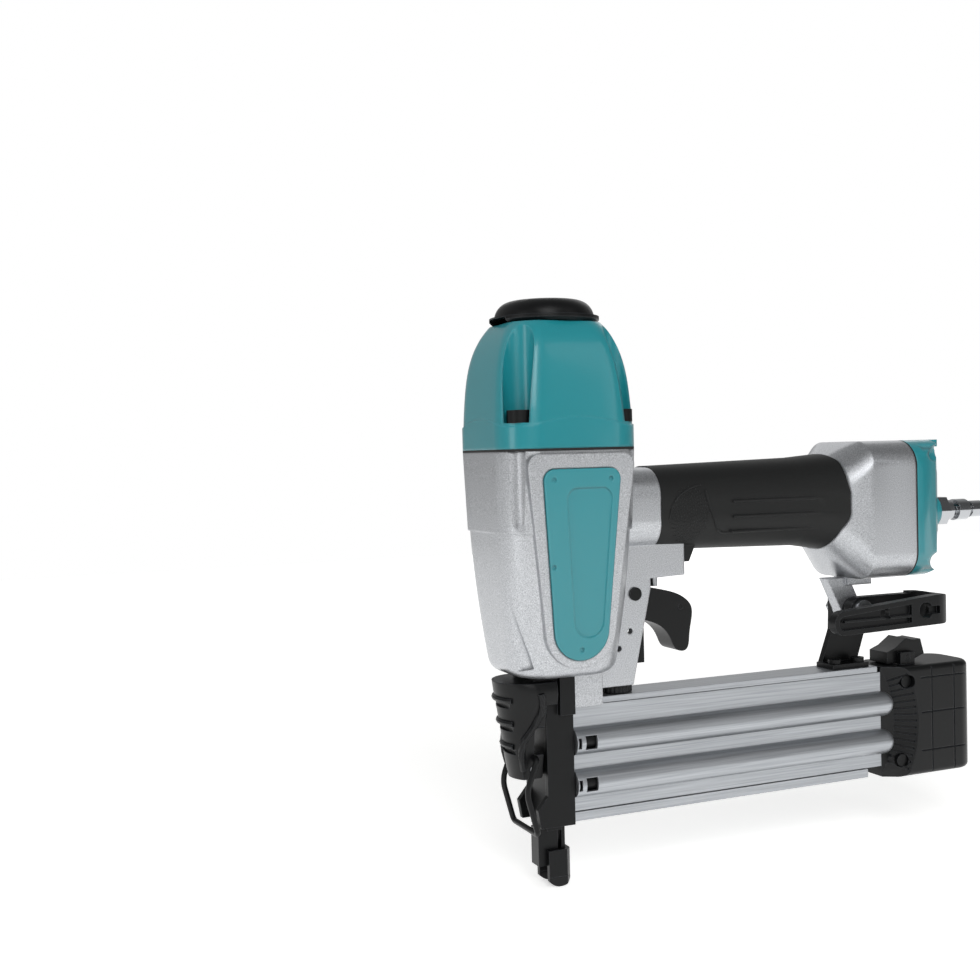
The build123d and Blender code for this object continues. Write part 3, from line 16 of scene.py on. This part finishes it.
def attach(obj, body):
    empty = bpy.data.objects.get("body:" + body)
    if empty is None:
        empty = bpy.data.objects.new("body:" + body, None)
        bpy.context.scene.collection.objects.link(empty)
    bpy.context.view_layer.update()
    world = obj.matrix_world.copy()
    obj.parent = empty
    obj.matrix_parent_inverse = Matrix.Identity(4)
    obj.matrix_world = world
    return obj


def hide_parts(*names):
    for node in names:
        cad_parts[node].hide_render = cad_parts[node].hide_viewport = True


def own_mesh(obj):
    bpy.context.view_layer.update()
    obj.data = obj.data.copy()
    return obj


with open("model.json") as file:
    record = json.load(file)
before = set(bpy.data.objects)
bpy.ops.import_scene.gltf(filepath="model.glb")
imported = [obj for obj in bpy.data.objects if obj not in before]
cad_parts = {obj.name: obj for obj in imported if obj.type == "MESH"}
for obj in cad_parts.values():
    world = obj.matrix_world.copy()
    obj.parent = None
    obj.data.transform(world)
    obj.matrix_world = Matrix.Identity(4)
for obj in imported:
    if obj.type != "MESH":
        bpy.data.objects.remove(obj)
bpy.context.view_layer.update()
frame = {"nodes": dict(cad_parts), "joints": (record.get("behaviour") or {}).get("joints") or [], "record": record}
MM = 0.001

# %% [markdown]
# The camera stands where the photographer stood. Its place, three angles and one focal length were
# fitted to edges whose real directions are known, such as the magazine's rails and the drive axis.
# The picture is square, so the focal length in pixels turns straight into a lens in millimetres.

# %% Camera
picture_width = 980
focal_pixels = 1270.0
sensor_width = 36.0
camera_place = Vector((-225.1, -469.6, 177.6)) * MM
camera_turn = math.radians(23.0)
camera_dip = math.radians(1.65)
camera_roll = math.radians(1.4)
nearest_seen = 0.01


def place_camera():
    view = Vector((
        math.sin(camera_turn) * math.cos(camera_dip),
        math.cos(camera_turn) * math.cos(camera_dip),
        -math.sin(camera_dip),
    ))
    level_right = view.cross(Vector((0, 0, 1))).normalized()
    level_up = level_right.cross(view)
    right = math.cos(camera_roll) * level_right - math.sin(camera_roll) * level_up
    up = math.sin(camera_roll) * level_right + math.cos(camera_roll) * level_up
    data = bpy.data.cameras.new("camera")
    data.sensor_width = sensor_width
    data.lens = focal_pixels * sensor_width / picture_width
    data.clip_start = nearest_seen
    camera = bpy.data.objects.new("camera", data)
    turn = Matrix((right, up, -view)).transposed().to_4x4()
    camera.matrix_world = Matrix.Translation(camera_place) @ turn
    bpy.context.scene.collection.objects.link(camera)
    bpy.context.scene.camera = camera
    return camera


camera = place_camera()
print("lens", round(camera.data.lens, 2), "mm")

# %% [markdown]
# Every finish is one principled shader. A colour is written as the hex value a designer would
# read off a swatch, and one function turns it into the linear light that the shader works in.
# One more function adds a node, sets what is given by name and links what is given as a socket.

# %% Helpers for finishes
def linear(hex_colour):
    channels = [int(hex_colour[i:i + 2], 16) / 255 for i in (1, 3, 5)]
    return tuple(c / 12.92 if c <= 0.04045 else ((c + 0.055) / 1.055) ** 2.4 for c in channels) + (1.0,)


def add(tree, kind, settings=None, **inputs):
    # An input goes by its name, with _ for a space, or by its number, as in _0
    node = tree.nodes.new(kind)
    for name, value in (settings or {}).items():
        setattr(node, name, value)
    for name, value in inputs.items():
        socket = node.inputs[int(name[1:])] if name[1:].isdigit() else node.inputs[name.replace("_", " ")]
        if isinstance(value, bpy.types.NodeSocket):
            tree.links.new(value, socket)
        else:
            socket.default_value = value
    return node


def new_finish(name, colour, roughness, metallic=0.0):
    material = bpy.data.materials.new(name)
    material.use_nodes = True
    shader = material.node_tree.nodes["Principled BSDF"]
    shader.inputs["Base Color"].default_value = linear(colour)
    shader.inputs["Roughness"].default_value = roughness
    shader.inputs["Metallic"].default_value = metallic
    material.diffuse_color = linear(colour)
    return material, material.node_tree, shader


finishes = {}
print("mid grey in linear light", round(linear("#808080")[0], 3))

# %% [markdown]
# Some surface effects are shared by several finishes. Grain is a noise whose cell is given in
# millimetres and can be stretched along one axis. Two swatches turn a noise into a colour, and two
# roughnesses turn it into an uneven gloss. Soft edges round worked corners in the shading. Where
# the rounded direction parts from the true one there is an edge, and a paler colour is painted
# along it as a highlight.

# %% Shared surface effects
# Where along the edge the painted highlight starts and ends
edge_highlight_from = 0.86
edge_highlight_to = 0.985


def grain(tree, grain_mm, stretch=(1, 1, 1), detail=2.0):
    place = add(tree, "ShaderNodeTexCoord")
    mapping = add(tree, "ShaderNodeMapping", Vector=place.outputs["Object"], Scale=stretch)
    scale = 1 / (grain_mm * MM)
    noise = add(tree, "ShaderNodeTexNoise", Vector=mapping.outputs["Vector"], Scale=scale, Detail=detail)
    return noise.outputs["Fac"]


def between(tree, factor, dark, light, low=0.3, high=0.7):
    ramp = add(tree, "ShaderNodeValToRGB", Fac=factor)
    first, last = ramp.color_ramp.elements
    first.position, last.position = low, high
    first.color, last.color = linear(dark), linear(light)
    return ramp.outputs["Color"]


def uneven_gloss(tree, shader, factor, low, high):
    rough = add(tree, "ShaderNodeMapRange", Value=factor, To_Min=low, To_Max=high)
    tree.links.new(rough.outputs["Result"], shader.inputs["Roughness"])


def soft_edges(tree, shader, radius_mm, height=None, strength=0.0, depth_mm=0.1):
    edge = add(tree, "ShaderNodeBevel", {"samples": 4}, Radius=radius_mm * MM)
    normal = edge.outputs["Normal"]
    if height is not None:
        bump = add(tree, "ShaderNodeBump", Height=height, Strength=strength, Distance=depth_mm * MM,
                   Normal=normal)
        normal = bump.outputs["Normal"]
    tree.links.new(normal, shader.inputs["Normal"])
    return edge.outputs["Normal"]


# Paints a paler colour along every edge as a highlight
def painted_edge_highlight(tree, shader, rounded, colour, highlight_colour):
    true = add(tree, "ShaderNodeNewGeometry")
    same = add(tree, "ShaderNodeVectorMath", {"operation": "DOT_PRODUCT"}, _0=rounded,
               _1=true.outputs["Normal"])
    shade = between(tree, same.outputs["Value"], highlight_colour, colour, edge_highlight_from, edge_highlight_to)
    tree.links.new(shade, shader.inputs["Base Color"])


# %% [markdown]
# The head, neck and flare are one aluminium casting under a silver metallic paint. Shot-blasted
# castings keep a fine grain that the paint doesn't hide, and the paint's flakes lie at random, so
# light breaks up into pale and dark specks. The real flakes are finer than a pixel; these are
# 0.4 mm, as coarse as they need to be to show.

# %% Silver painted casting
def silver_casting():
    material, tree, shader = new_finish("silver_painted_aluminium", "#AEB0B4", 0.36, metallic=0.85)
    speckle = grain(tree, grain_mm=0.4, detail=4.0)
    paint = between(tree, speckle, dark="#86888C", light="#CDCFD2", low=0.26, high=0.74)
    tree.links.new(paint, shader.inputs["Base Color"])
    uneven_gloss(tree, shader, speckle, low=0.28, high=0.46)
    soft_edges(tree, shader, radius_mm=1.0, height=speckle, strength=0.18, depth_mm=0.08)
    return material


finishes["cast_aluminium"] = silver_casting()
print("made", finishes["cast_aluminium"].name)

# %% [markdown]
# The cap, side plate and end cap are castings in a glossy teal enamel. Enamel is a dielectric:
# the colour comes from below and a clear, sharp reflection lies on top, so a coat is added. Sprayed
# enamel is never quite flat, and a shallow 3 mm ripple gives its orange peel.

# %% Teal enamel
def teal_enamel():
    colour = "#1F8D97"
    material, tree, shader = new_finish("teal_enamel", colour, 0.30)
    shader.inputs["Coat Weight"].default_value = 0.4
    shader.inputs["Coat Roughness"].default_value = 0.10
    ripple = grain(tree, grain_mm=3.0)
    rounded = soft_edges(tree, shader, radius_mm=1.4, height=ripple, strength=0.04, depth_mm=0.1)
    # The edges are painted a paler teal as a highlight
    painted_edge_highlight(tree, shader, rounded, colour, highlight_colour="#3AA0AB")
    return material


finishes["teal_paint"] = teal_enamel()
print("made", finishes["teal_paint"].name)

# %% [markdown]
# Black pieces come in four kinds: glass-filled nylon with a satin moulded skin, the softer
# rubber of the grip, blackened steel, and plain seal rubber. The first three are painted paler
# along their edges as a highlight.

# %% Black finishes
def black_nylon():
    colour = "#0D0E0F"
    material, tree, shader = new_finish("black_glass_filled_nylon", colour, 0.40)
    shader.inputs["Specular IOR Level"].default_value = 0.22
    skin = grain(tree, grain_mm=0.5, detail=3.0)
    uneven_gloss(tree, shader, skin, low=0.32, high=0.48)
    rounded = soft_edges(tree, shader, radius_mm=0.6, height=skin, strength=0.22, depth_mm=0.08)
    # The edges are painted a paler grey as a highlight
    painted_edge_highlight(tree, shader, rounded, colour, highlight_colour="#34363A")
    return material


def grip_rubber():
    colour = "#151616"
    material, tree, shader = new_finish("grip_rubber", colour, 0.60)
    shader.inputs["Specular IOR Level"].default_value = 0.3
    skin = grain(tree, grain_mm=0.45, detail=3.0)
    uneven_gloss(tree, shader, skin, low=0.52, high=0.70)
    rounded = soft_edges(tree, shader, radius_mm=0.8, height=skin, strength=0.20, depth_mm=0.08)
    # The edges are painted a paler grey as a highlight
    painted_edge_highlight(tree, shader, rounded, colour, highlight_colour="#2C2D2E")
    return material


def blackened_steel():
    colour = "#101112"
    material, tree, shader = new_finish("blackened_steel", colour, 0.40, metallic=0.25)
    shader.inputs["Specular IOR Level"].default_value = 0.25
    bloom = grain(tree, grain_mm=0.6, detail=3.0)
    uneven_gloss(tree, shader, bloom, low=0.32, high=0.50)
    rounded = soft_edges(tree, shader, radius_mm=0.4, height=bloom, strength=0.10, depth_mm=0.05)
    # The edges are painted a paler grey as a highlight
    painted_edge_highlight(tree, shader, rounded, colour, highlight_colour="#3E4043")
    return material


def seal_rubber():
    material, tree, shader = new_finish("seal_rubber", "#121212", 0.7)
    skin = grain(tree, grain_mm=0.3)
    soft_edges(tree, shader, radius_mm=0.2, height=skin, strength=0.15, depth_mm=0.05)
    return material


finishes["black_plastic"] = black_nylon()
finishes["grip_rubber"] = grip_rubber()
finishes["black_steel"] = blackened_steel()
finishes["seal_rubber"] = seal_rubber()
print("finishes so far", len(finishes))

# %% [markdown]
# The magazine is an aluminium extrusion, so its lines run along it. A noise that is stretched
# far along X gives the faint drawn streaks, in the colour as well as in the gloss. Small turned
# pieces are plain ground steel, the springs are darker wire, and the air plug is chromed.

# %% Bright metals
def drawn_aluminium():
    material, tree, shader = new_finish("drawn_aluminium", "#A0A3A7", 0.40, metallic=0.85)
    streaks = grain(tree, grain_mm=0.6, stretch=(0.015, 1, 1), detail=3.0)
    metal = between(tree, streaks, dark="#94979B", light="#AEB1B5")
    tree.links.new(metal, shader.inputs["Base Color"])
    uneven_gloss(tree, shader, streaks, low=0.34, high=0.46)
    soft_edges(tree, shader, radius_mm=0.35, height=streaks, strength=0.12, depth_mm=0.05)
    return material


def ground_steel():
    material, tree, shader = new_finish("ground_steel", "#A2A4A7", 0.32, metallic=1.0)
    lay = grain(tree, grain_mm=0.4, stretch=(1, 0.05, 1))
    soft_edges(tree, shader, radius_mm=0.2, height=lay, strength=0.15, depth_mm=0.03)
    return material


def spring_steel():
    material, tree, shader = new_finish("spring_steel", "#7E8083", 0.3, metallic=1.0)
    skin = grain(tree, grain_mm=0.4)
    soft_edges(tree, shader, radius_mm=0.1, height=skin, strength=0.08, depth_mm=0.02)
    return material


def chrome_plate():
    material, tree, shader = new_finish("chrome_plate", "#A9ABAE", 0.14, metallic=1.0)
    ripple = grain(tree, grain_mm=2.0)
    soft_edges(tree, shader, radius_mm=0.3, height=ripple, strength=0.02, depth_mm=0.05)
    return material


finishes["extruded_aluminium"] = drawn_aluminium()
finishes["steel"] = ground_steel()
finishes["spring_steel"] = spring_steel()
finishes["chrome"] = chrome_plate()
print("finishes", len(finishes))

# %% [markdown]
# The engineering meshes are loose triangles. A merged copy of each can be shaded smooth, with a
# hard edge only where two faces meet at more than a set angle, and the copy stands for the node.

# %% Dress the engineering pieces
smooth_angle = math.radians(32.0)
weld_distance = 0.002 * MM
slot_of = {row["node"]: row["material_slot"] for row in frame["record"]["subparts"]}
body_of = {node: body for body, nodes in frame["record"]["behaviour"]["bodies"].items() for node in nodes}


def finish_piece(name, shape, body, slot, replaced=()):
    mesh = bpy.data.meshes.new(name)
    shape.to_mesh(mesh)
    shape.free()
    mesh.materials.append(finishes[slot])
    piece = bpy.data.objects.new(name, mesh)
    bpy.context.scene.collection.objects.link(piece)
    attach(piece, body)
    if replaced:
        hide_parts(*replaced)
    return piece


def shade_smooth(shape):
    for face in shape.faces:
        face.smooth = True
        face.material_index = 0
    for edge in shape.edges:
        edge.smooth = edge.is_manifold and edge.calc_face_angle(0.0) < smooth_angle


def dress(node):
    shape = bmesh.new()
    shape.from_mesh(frame["nodes"][node].data)
    bmesh.ops.remove_doubles(shape, verts=shape.verts, dist=weld_distance)
    shade_smooth(shape)
    return finish_piece(node + "_dressed", shape, body_of[node], slot_of[node], [node])


dressed = {node: dress(node) for node in frame["nodes"]}
print("dressed", len(dressed))

# %% [markdown]
# Fine moulded detail lies on curved skins, so its height isn't known beforehand. A tree of the
# dressed piece's triangles answers where a line across the tool first meets the skin.

# %% Finding a skin
outside = 80.0


def skin_of(node):
    shape = bmesh.new()
    shape.from_mesh(dressed[node].data)
    tree = BVHTree.FromBMesh(shape)
    shape.free()
    return tree


def on_skin(tree, x_mm, z_mm, side):
    # side is -1 for the near skin and 1 for the far one
    start = Vector((x_mm, side * outside, z_mm)) * MM
    place, normal = tree.ray_cast(start, Vector((0, -side, 0)))[:2]
    return place, normal


def on_front(tree, y_mm, z_mm):
    start = Vector((-outside, y_mm, z_mm)) * MM
    return tree.ray_cast(start, Vector((1, 0, 0)))[0]


grip_skin = skin_of("grip_sleeve")
lever_skin = skin_of("latch_lever")
grip_middle = (80.0, 150.0)
print("grip's half width", round(on_skin(grip_skin, *grip_middle, 1)[0].y / MM, 2), "mm")

# %% [markdown]
# Where the index finger's root presses, each flank of the grip has a stippled patch. Its dots are
# low domes set out like the seeds of a sunflower, which fills a round patch evenly with no rows.

# %% Stippled patches on the grip
patch_middle = (57.2, 150.0)
patch_half = (9.4, 12.0)
patch_dots = 210
dot_radius = 0.42
dot_flatness = 0.55
seed_turn = math.pi * (3 - math.sqrt(5))


def stippled_patch(tree, side):
    shape = bmesh.new()
    for seed in range(patch_dots):
        reach = math.sqrt((seed + 0.5) / patch_dots)
        x = patch_middle[0] + patch_half[0] * reach * math.cos(seed * seed_turn)
        z = patch_middle[1] + patch_half[1] * reach * math.sin(seed * seed_turn)
        place, normal = on_skin(tree, x, z, side)
        turn = normal.to_track_quat("Z", "Y").to_matrix().to_4x4()
        flatten = Matrix.Diagonal((1, 1, dot_flatness, 1))
        bmesh.ops.create_icosphere(shape, subdivisions=1, radius=dot_radius * MM,
                                   matrix=Matrix.Translation(place) @ turn @ flatten)
    shade_smooth(shape)
    return shape


for side, name in ((-1, "near"), (1, "far")):
    finish_piece("grip_stipple_" + name, stippled_patch(grip_skin, side), "body", "grip_rubber")
print("grip dots", 2 * patch_dots)

# %% [markdown]
# A bead is a thin moulded line. Its way is given by a few points seen from the side; a smooth
# curve runs through them, every step of it is put on the skin, and a small ring is set there. The
# rings are then bridged to one tube, which lies half sunk in the skin. The lever's ribs run across
# its front, and each is given by its height and half its length.

# %% Moulded beads
steps_between = 8
bead_sides = 8


def smooth_way(points):
    # A curve that passes through every point, with the neighbours giving its direction
    way = []
    last = len(points) - 1
    for index in range(last):
        before, here, there, after = [Vector(points[min(max(index + i, 0), last)]) for i in (-1, 0, 1, 2)]
        for step in range(steps_between):
            t = step / steps_between
            bend = (2 * before - 5 * here + 4 * there - after) * t ** 2
            swing = (3 * here - before - 3 * there + after) * t ** 3
            way.append(here + 0.5 * ((there - before) * t + bend + swing))
    return way + [Vector(points[last])]


def bead(places, radius_mm):
    shape = bmesh.new()
    rings = []
    for index, place in enumerate(places):
        along = places[min(index + 1, len(places) - 1)] - places[max(index - 1, 0)]
        turn = along.to_track_quat("Z", "Y").to_matrix().to_4x4()
        ring = bmesh.ops.create_circle(shape, segments=bead_sides, radius=radius_mm * MM,
                                       matrix=Matrix.Translation(place) @ turn)
        rings.append(list({edge for vert in ring["verts"] for edge in vert.link_edges}))
    for low, high in zip(rings, rings[1:]):
        bmesh.ops.bridge_loops(shape, edges=low + high)
    bmesh.ops.holes_fill(shape, edges=rings[0] + rings[-1], sides=bead_sides)
    bmesh.ops.recalc_face_normals(shape, faces=shape.faces)
    shade_smooth(shape)
    return shape


grip_crease = [(65.0, 160.0), (66.2, 155.0), (68.5, 149.2), (71.3, 143.4), (74.8, 141.7), (78.5, 142.0)]
patch_edge = [(63.5, 162.2), (58.0, 161.0), (52.2, 158.0), (48.8, 153.5), (47.4, 148.5)]
lever_ridge = [(-12.0, 81.5), (-11.0, 75.0), (-13.5, 68.9), (-17.6, 62.9), (-18.5, 56.7), (-17.4, 50.2)]
lever_ribs = [(78.6, 8.6), (69.1, 7.2), (59.6, 5.8)]
crease_radius = 0.55
patch_edge_radius = 0.35
ridge_radius = 1.5
rib_radius = 1.2


def flank_bead(tree, points, radius_mm, side):
    return bead([on_skin(tree, x, z, side)[0] for x, z in smooth_way(points)], radius_mm)


for side, name in ((-1, "near"), (1, "far")):
    crease = flank_bead(grip_skin, grip_crease, crease_radius, side)
    finish_piece("grip_crease_" + name, crease, "body", "grip_rubber")
    border = flank_bead(grip_skin, patch_edge, patch_edge_radius, side)
    finish_piece("patch_edge_" + name, border, "body", "grip_rubber")
    ridge = flank_bead(lever_skin, lever_ridge, ridge_radius, side)
    finish_piece("lever_ridge_" + name, ridge, "latch_lever", "black_plastic")
for number, (level, half) in enumerate(lever_ribs):
    way = smooth_way([(-half, level), (-half / 3, level), (half / 3, level), (half, level)])
    rib = bead([on_front(lever_skin, y, z) for y, z in way], rib_radius)
    finish_piece("lever_rib_" + str(number), rib, "latch_lever", "black_plastic")
print("three beads on each flank and", len(lever_ribs), "ribs across the lever")

# %% [markdown]
# Two long flutes hollow out the front corners of the casting and widen downwards. They are cut
# from the dressed head with a cone each, as a mould maker would sink them with a tapered cutter.

# %% Flutes in the head
flute_foot = Vector((-22.3, 19.4, 92.0))
flute_tip = Vector((-26.4, 16.2, 120.0))
flute_foot_radius = 5.0
flute_tip_radius = 0.5
cutter_sides = 48


def flute_cutter(side):
    foot = Vector((flute_foot.x, side * flute_foot.y, flute_foot.z)) * MM
    tip = Vector((flute_tip.x, side * flute_tip.y, flute_tip.z)) * MM
    turn = (tip - foot).to_track_quat("Z", "Y").to_matrix().to_4x4()
    place = Matrix.Translation((foot + tip) / 2) @ turn
    shape = bmesh.new()
    bmesh.ops.create_cone(shape, cap_ends=True, segments=cutter_sides, radius1=flute_foot_radius * MM,
                          radius2=flute_tip_radius * MM, depth=(tip - foot).length, matrix=place)
    mesh = bpy.data.meshes.new("flute_cutter")
    shape.to_mesh(mesh)
    shape.free()
    cutter = bpy.data.objects.new("flute_cutter", mesh)
    bpy.context.scene.collection.objects.link(cutter)
    return cutter


def carve(piece, cutters):
    for cutter in cutters:
        cut = piece.modifiers.new("carve", "BOOLEAN")
        cut.operation = "DIFFERENCE"
        cut.solver = "EXACT"
        cut.object = cutter
    bpy.context.view_layer.update()
    graph = bpy.context.evaluated_depsgraph_get()
    carved = bpy.data.meshes.new_from_object(piece.evaluated_get(graph))
    piece.modifiers.clear()
    for cutter in cutters:
        spent = cutter.data
        bpy.data.objects.remove(cutter)
        bpy.data.meshes.remove(spent)
    shape = bmesh.new()
    shape.from_mesh(carved)
    shade_smooth(shape)
    shape.to_mesh(piece.data)
    shape.free()
    bpy.data.meshes.remove(carved)


faces_before = len(dressed["housing"].data.polygons)
carve(dressed["housing"], [flute_cutter(side) for side in (-1, 1)])
print("head faces", faces_before, "to", len(dressed["housing"].data.polygons))

# %% [markdown]
# A coil spring doesn't follow its joint as one rigid piece. The record says which springs give way
# to which joint and where their still end is. Here each of them only gets a mesh of its own;
# nothing flattens it.

# %% Own meshes for the springs that give way
def give_way(node):
    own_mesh(dressed[node])


for joint in frame["joints"]:
    for row in joint.get("deforming_nodes", []):
        give_way(row["node"])

# %% [markdown]
# A plain pale floor and four large soft lamps: a key from the front and above, a faint softbox on
# the right that shows in the enamel, one on the left and a wide one behind for the rims. The floor
# brightens with distance until it is as white as the room behind it, so no edge shows. Gloss sees
# the floor white, the back of the room less than half bright and its front dim, as in a real
# studio, and so bright metal keeps its light and shade. A strength of 1 is white, and lengths here
# are in metres.

# %% Floor, world and lamps
room_strength = 0.32
mirror_front = 0.14
mirror_back = 0.42
mirror_turn = (-0.2, 0.4)
floor_lift = 0.55
floor_fade = (0.45, 1.3)
floor_reach = 1.6
lamp_aim = Vector((0.09, 0.0, 0.12))


def seen_rays(tree):
    ray = add(tree, "ShaderNodeLightPath")
    direct = add(tree, "ShaderNodeMath", {"operation": "ADD"}, _0=ray.outputs["Is Camera Ray"],
                 _1=ray.outputs["Is Transmission Ray"])
    return direct.outputs["Value"], ray.outputs["Is Glossy Ray"]


def pale_floor():
    shape = bmesh.new()
    bmesh.ops.create_grid(shape, x_segments=1, y_segments=1, size=floor_reach)
    mesh = bpy.data.meshes.new("floor")
    shape.to_mesh(mesh)
    shape.free()
    floor = bpy.data.objects.new("floor", mesh)
    bpy.context.scene.collection.objects.link(floor)
    material, tree, shader = new_finish("pale_floor", "#F2F2F0", 0.8)
    direct, glossy = seen_rays(tree)
    place = add(tree, "ShaderNodeTexCoord")
    distance = add(tree, "ShaderNodeVectorMath", {"operation": "LENGTH"}, _0=place.outputs["Object"])
    fade = add(tree, "ShaderNodeMapRange", Value=distance.outputs["Value"], From_Min=floor_fade[0],
               From_Max=floor_fade[1], To_Min=floor_lift)
    lift = add(tree, "ShaderNodeMath", {"operation": "MULTIPLY_ADD"}, _0=direct,
               _1=fade.outputs["Result"], _2=glossy)
    shader.inputs["Emission Color"].default_value = (1, 1, 1, 1)
    tree.links.new(lift.outputs["Value"], shader.inputs["Emission Strength"])
    mesh.materials.append(material)
    return floor


def studio_world():
    world = bpy.data.worlds.new("studio")
    world.use_nodes = True
    tree = world.node_tree
    background = tree.nodes["Background"]
    background.inputs["Color"].default_value = (1, 1, 1, 1)
    direct, glossy = seen_rays(tree)
    place = add(tree, "ShaderNodeTexCoord")
    axes = add(tree, "ShaderNodeSeparateXYZ", Vector=place.outputs["Generated"])
    mirrored = add(tree, "ShaderNodeMapRange", Value=axes.outputs["Y"], From_Min=mirror_turn[0],
                   From_Max=mirror_turn[1], To_Min=mirror_front, To_Max=mirror_back)
    room = add(tree, "ShaderNodeMix", Factor=glossy, _2=room_strength, _3=mirrored.outputs["Result"])
    strength = add(tree, "ShaderNodeMix", Factor=direct, _2=room.outputs[0], _3=1.0)
    tree.links.new(strength.outputs[0], background.inputs["Strength"])
    bpy.context.scene.world = world


def soft_lamp(name, place, width, height, watts):
    data = bpy.data.lights.new(name, "AREA")
    data.shape = "RECTANGLE"
    data.size = width
    data.size_y = height
    data.energy = watts
    lamp = bpy.data.objects.new(name, data)
    lamp.location = place
    lamp.rotation_euler = (lamp_aim - Vector(place)).to_track_quat("-Z", "Y").to_euler()
    bpy.context.scene.collection.objects.link(lamp)


pale_floor()
studio_world()
soft_lamp("key", (-0.25, -0.95, 0.75), width=0.5, height=0.8, watts=6)
soft_lamp("fill", (0.62, -0.78, 0.52), width=0.35, height=0.9, watts=0.9)
soft_lamp("side", (-0.95, -0.25, 0.35), width=0.3, height=0.7, watts=1.5)
soft_lamp("rim", (0.5, 0.8, 0.7), width=0.9, height=0.5, watts=1.2)
bpy.context.scene.view_settings.view_transform = "Standard"
print("lamps", len(bpy.data.lights))
